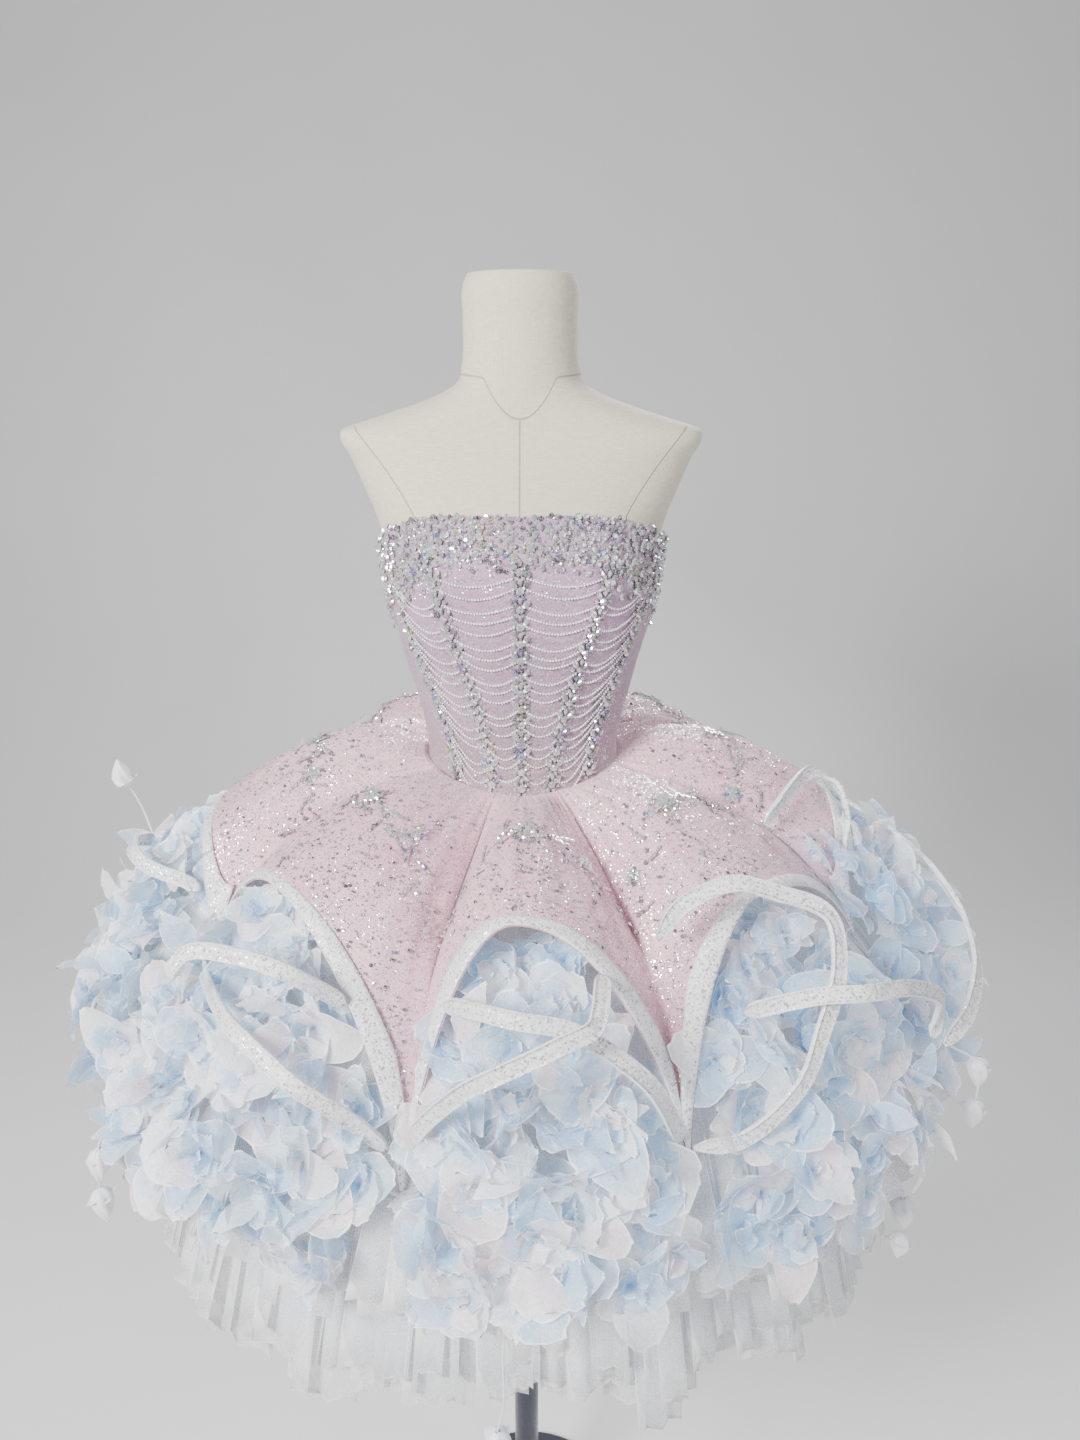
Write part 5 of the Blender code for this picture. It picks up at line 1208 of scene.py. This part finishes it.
def heap_spot(row, x, y, lift):
    """Place in a heap: x across, y down, lift as a share of its depth."""
    _name, top_a, top_b, low_a, low_b, start, finish, deep = row
    grow = np.minimum(1.0, 1.6 * y) ** 0.8
    left, right = top_a + (low_a - top_a) * grow, top_b + (low_b - top_b) * grow
    angle = left + (right - left) * x
    t = start + (finish - start) * y
    dome = np.sqrt(np.maximum(0.02, 1 - (2 * x - 1) ** 4)) * np.sqrt(np.maximum(0.02, 1 - (2 * y - 1) ** 4))
    way = out_of_fall(angle, t, 1)
    return net_fall(angle, t, 1) + way * (0.012 + (0.004 + deep * dome) * lift)[..., None], way


FLOWERS = 42             # in a heap 38 degrees wide; every heap has 8 more
LOOSE = 26               # long pointed petals that stick out of each heap
for number, row in enumerate(HEAPS):
    wide = row[4] - row[3]
    many = int(FLOWERS * wide / 38) + 8
    k = np.arange(many)
    x = np.clip((k * 0.618034 + 0.13 * number) % 1.0, 0.03, 0.97)
    y = np.clip((k + 0.5) / many + draw.uniform(-0.05, 0.05, many), 0.02, 0.98)
    centre, way = heap_spot(row, x, y, draw.uniform(0.10, 0.66, many))
    tilt = draw.normal(0, 0.50, (many, 3))
    up = unit(way + tilt)
    heap = []
    for ring, (count, opening, big) in enumerate(((5, 74, 1.0), (4, 46, 0.82), (3, 22, 0.62))):
        for petal in range(count):
            turn = 2 * np.pi * (petal / count + 0.13 * ring) + draw.uniform(-0.3, 0.3, many) + k
            length = draw.uniform(0.036, 0.058, many) * big * (0.62 + 0.38 * np.minimum(1, 3 * y))
            width = length * draw.uniform(0.38, 0.56, many)
            opened = np.full(many, opening) + draw.uniform(-14, 14, many)
            add_petals(heap, centre, up, turn, length, width, opened, draw.random(many))
    centre, way = heap_spot(row, draw.uniform(0.05, 0.95, LOOSE), draw.uniform(0.25, 0.95, LOOSE),
                            draw.uniform(0.4, 0.8, LOOSE))
    up = unit(way + draw.normal(0, 0.45, (LOOSE, 3)))
    turn = draw.uniform(0, 2 * np.pi, LOOSE)
    length = draw.uniform(0.042, 0.064, LOOSE)
    add_petals(heap, centre, up, turn, length, length * 0.24, draw.uniform(25, 60, LOOSE),
               draw.uniform(0.82, 0.99, LOOSE))
    points, faces = joined(*[part[:2] for part in heap])
    alongs, acrosses, tones = (np.concatenate([part[i] for part in heap]) for i in (2, 3, 4))
    piece = make("petals_" + row[0][8:], points, faces, organza, "petal_organza", [row[0]],
                 tint=tones, along=alongs, across=acrosses)
    sew(piece)

# %% [markdown]
# ## Bud sprays
# Silk buds hang from the flowers on thin covered stems. A bud is a spindle whose skin is wound round it
# in five folds, with four small leaves at its foot.

# %% Bud silk, stems and buds
silk, tree, shader, place = recipe("bud_silk", 0.40, Sheen_Weight=0.6, Coat_Weight=0.15)
folded = mark(tree, "along")[2]
grain = noise(tree, place, 160.0, 2.0)
tone = ramp(tree, folded, (0.0, (.78, .82, .90, 1)), (0.35, (.97, .92, .95, 1)), (1.0, (1.0, .88, .92, 1)))
feed(tree, shader, Base_Color=mix(tree, calc(tree, "MULTIPLY", grain, 0.3), tone, (.98, .97, .98, 1)),
     Normal=bump(tree, grain, 0.0004, 0.3))
# spray: stem rows in millimetres, then buds as (foot, tip, radius)
SPRAYS = {
    "buds_left_top": ([(-428, 7, 1140), (-441, 15, 1175), (-450, 8, 1205), (-452, 1, 1212)],
                      [((-452, 2, 1208), (-454, -7, 1244), 9.5)]),
    "buds_left_low": ([(-386, -241, 960), (-409, -255, 945), (-416, -260, 920), (-418, -261, 880)],
                      [((-413, -258, 930), (-418, -261, 889), 10),
                       ((-418, -262, 886), (-412, -268, 848), 10)]),
    "buds_front": ([(-7, -376, 865), (-14, -384, 820), (-14, -392, 760), (-21, -387, 716),
                    (-21, -385, 670)],
                   [((-20, -388, 722), (-21, -385, 678), 11), ((-22, -385, 674), (-28, -384, 636), 10)]),
    "buds_right_high": ([(418, -160, 1000), (449, -172, 985), (470, -180, 976), (477, -183, 960),
                         (477, -183, 925)],
                        [((474, -182, 980), (477, -183, 942), 10),
                         ((477, -183, 928), (477, -183, 890), 9.5)]),
    "buds_right_low": ([(369, -230, 880), (384, -240, 860), (391, -244, 850), (392, -245, 810)],
                       [((389, -243, 855), (392, -245, 815), 10.5),
                        ((392, -245, 814), (387, -252, 786), 9.5)]),
}


def sideways(ahead):
    """Two directions square to ahead and to each other."""
    side_way = unit(np.cross(ahead, np.array([0.31, 0.9, 0.13])))
    return side_way, np.cross(ahead, side_way)


def stem_tube(rows, radius):
    """Round tube of one radius along a smooth path."""
    path = smooth_path(rows, 40)
    side_way, other = sideways(unit(np.gradient(path, axis=0)))
    turn = np.linspace(0, 2 * np.pi, 8, endpoint=False)[:, None, None]
    grid = path[None] + (side_way[None] * np.cos(turn) + other[None] * np.sin(turn)) * radius
    return grid.reshape(-1, 3), squares(8, 40, closed=True)


def bud(foot, tip, radius):
    """Spindle r = R sin(pi u^0.62)^0.9, in five folds |cos(2.5 a + 3.4 u)| that wind round it."""
    foot, tip = np.array(foot, float) / 1000, np.array(tip, float) / 1000
    ahead = unit(tip - foot)
    side_way, other = sideways(ahead)
    u = np.linspace(0.01, 0.995, 22)[None, :]
    a = np.linspace(0, 2 * np.pi, 30, endpoint=False)[:, None]
    r = (radius / 1000 * np.sin(np.pi * u ** 0.62) ** 0.9
         * (1 + 0.30 * np.abs(np.cos(2.5 * a + 3.4 * u)) - 0.15))
    grid = (foot + ahead * (u * np.linalg.norm(tip - foot))[..., None]
            + side_way * (r * np.cos(a))[..., None] + other * (r * np.sin(a))[..., None])
    return grid.reshape(-1, 3), squares(30, 22, closed=True), np.broadcast_to(u, (30, 22)).ravel()


for name, (stem, heads) in SPRAYS.items():
    tube = stem_tube(stem, 0.0012)
    parts, folds = [tube], [np.zeros(len(tube[0]))]
    for foot, tip, radius in heads:
        some = bud(foot, tip, radius)
        parts.append(some[:2])
        folds.append(some[2])
        spot = np.tile(np.array(foot, float) / 1000, (4, 1))
        up = np.tile(unit(np.array(tip, float) - np.array(foot, float)), (4, 1))
        turn = 2 * np.pi * np.arange(4)[:, None] / 4 + 0.4
        one = unit(np.cross(up, [0.2, 0.9, 0.4]))
        spin = one * np.cos(turn) + np.cross(up, one) * np.sin(turn)
        leaf_axes = np.stack([spin, np.cross(up, spin), up], -1)
        leaf_points, leaf_faces, _marks = petals(
            spot, leaf_axes, np.full(4, 0.019), np.full(4, 0.0075),
            np.array([40.0, 55.0, 48.0, 62.0]), np.array([.2, .5, .7, .9]))
        parts.append((leaf_points, leaf_faces))
        folds.append(np.full(len(leaf_points), 0.12))
    points, faces = joined(*parts)
    make("silk_" + name, points, faces, silk, "bud_silk", [name], along=np.concatenate(folds))

# %% [markdown]
# ## Studio
# A pale floor that curves up into a wall, one large soft light from the left front, a weaker one from the
# right, and one behind that outlines the net. A few small lamps give the stones their glints.

# %% Floor, lights and camera
backdrop, tree, shader, place = recipe("studio_paper", 0.9)
feed(tree, shader, Base_Color=ramp(tree, noise(tree, place, 2.0), (0.3, (.80, .80, .80, 1)),
                                   (0.8, (.83, .83, .835, 1))))
bend = np.linspace(0, np.pi / 2, 16)
curve = np.column_stack([1.8 + 1.2 * np.sin(bend), 1.2 - 1.2 * np.cos(bend)])
profile = np.concatenate([[[-4.0, 0.0]], curve, [[3.0, 5.0]]])
x = np.linspace(-5, 5, 3)[:, None]
paper = np.stack(np.broadcast_arrays(x, profile[None, :, 0], profile[None, :, 1] - 0.0003), -1)
mesh = bpy.data.meshes.new("studio_floor")
mesh.from_pydata(paper.reshape(-1, 3).tolist(), [], squares(3, len(profile)).tolist())
mesh.polygons.foreach_set("use_smooth", [True] * len(mesh.polygons))
mesh.materials.append(backdrop)
floor = bpy.data.objects.new("studio_floor", mesh)
bpy.context.scene.collection.objects.link(floor)


def lamp(name, spot, aim, size, power, tone=(1, 1, 1)):
    """Square soft light at a spot, turned towards its aim."""
    light = bpy.data.lights.new(name, "AREA")
    light.size, light.energy, light.color = size, power, tone
    made = bpy.data.objects.new(name, light)
    made.location = spot
    made.rotation_euler = (Vector(aim) - Vector(spot)).to_track_quat("-Z", "Y").to_euler()
    bpy.context.scene.collection.objects.link(made)


lamp("key_light", (-1.5, -1.9, 2.5), (0, 0, 1.15), 0.9, 150, (1.0, 0.985, 0.965))
lamp("fill_light", (2.0, -1.5, 1.7), (0, 0, 1.1), 1.5, 17, (0.95, 0.97, 1.0))
lamp("rim_light", (0.9, 1.9, 2.4), (0, 0, 1.2), 0.8, 48)
for at, spot in enumerate(((-0.9, -1.6, 2.2), (0.7, -1.8, 2.4), (1.5, -0.6, 2.0), (-1.7, -0.4, 2.0))):
    lamp(f"glint_{at}", spot, (0, 0, 1.35), 0.05, 5.0)
world = bpy.data.worlds.new("studio_air")
world.use_nodes = True
sky = world.node_tree
way = node(sky, "SeparateXYZ", {0: node(sky, "TexCoord").outputs["Generated"]}).outputs
tone = ramp(sky, calc(sky, "MULTIPLY_ADD", way[2], 0.5, 0.5), (0.30, (.16, .16, .18, 1)),
            (0.75, (.62, .63, .66, 1)))
sky.links.new(tone, sky.nodes["Background"].inputs[0])
sky.nodes["Background"].inputs[1].default_value = 0.44
bpy.context.scene.world = world

camera = bpy.data.objects.new("camera", bpy.data.cameras.new("camera"))
LENS, PITCH_DOWN = 26.0, 18.3
camera.data.lens, camera.data.sensor_width = LENS, 36.0
camera.location = (0.019, -1.096, 1.65)
camera.rotation_euler = (math.radians(90 - PITCH_DOWN), 0, 0)
bpy.context.scene.collection.objects.link(camera)
bpy.context.scene.camera = camera
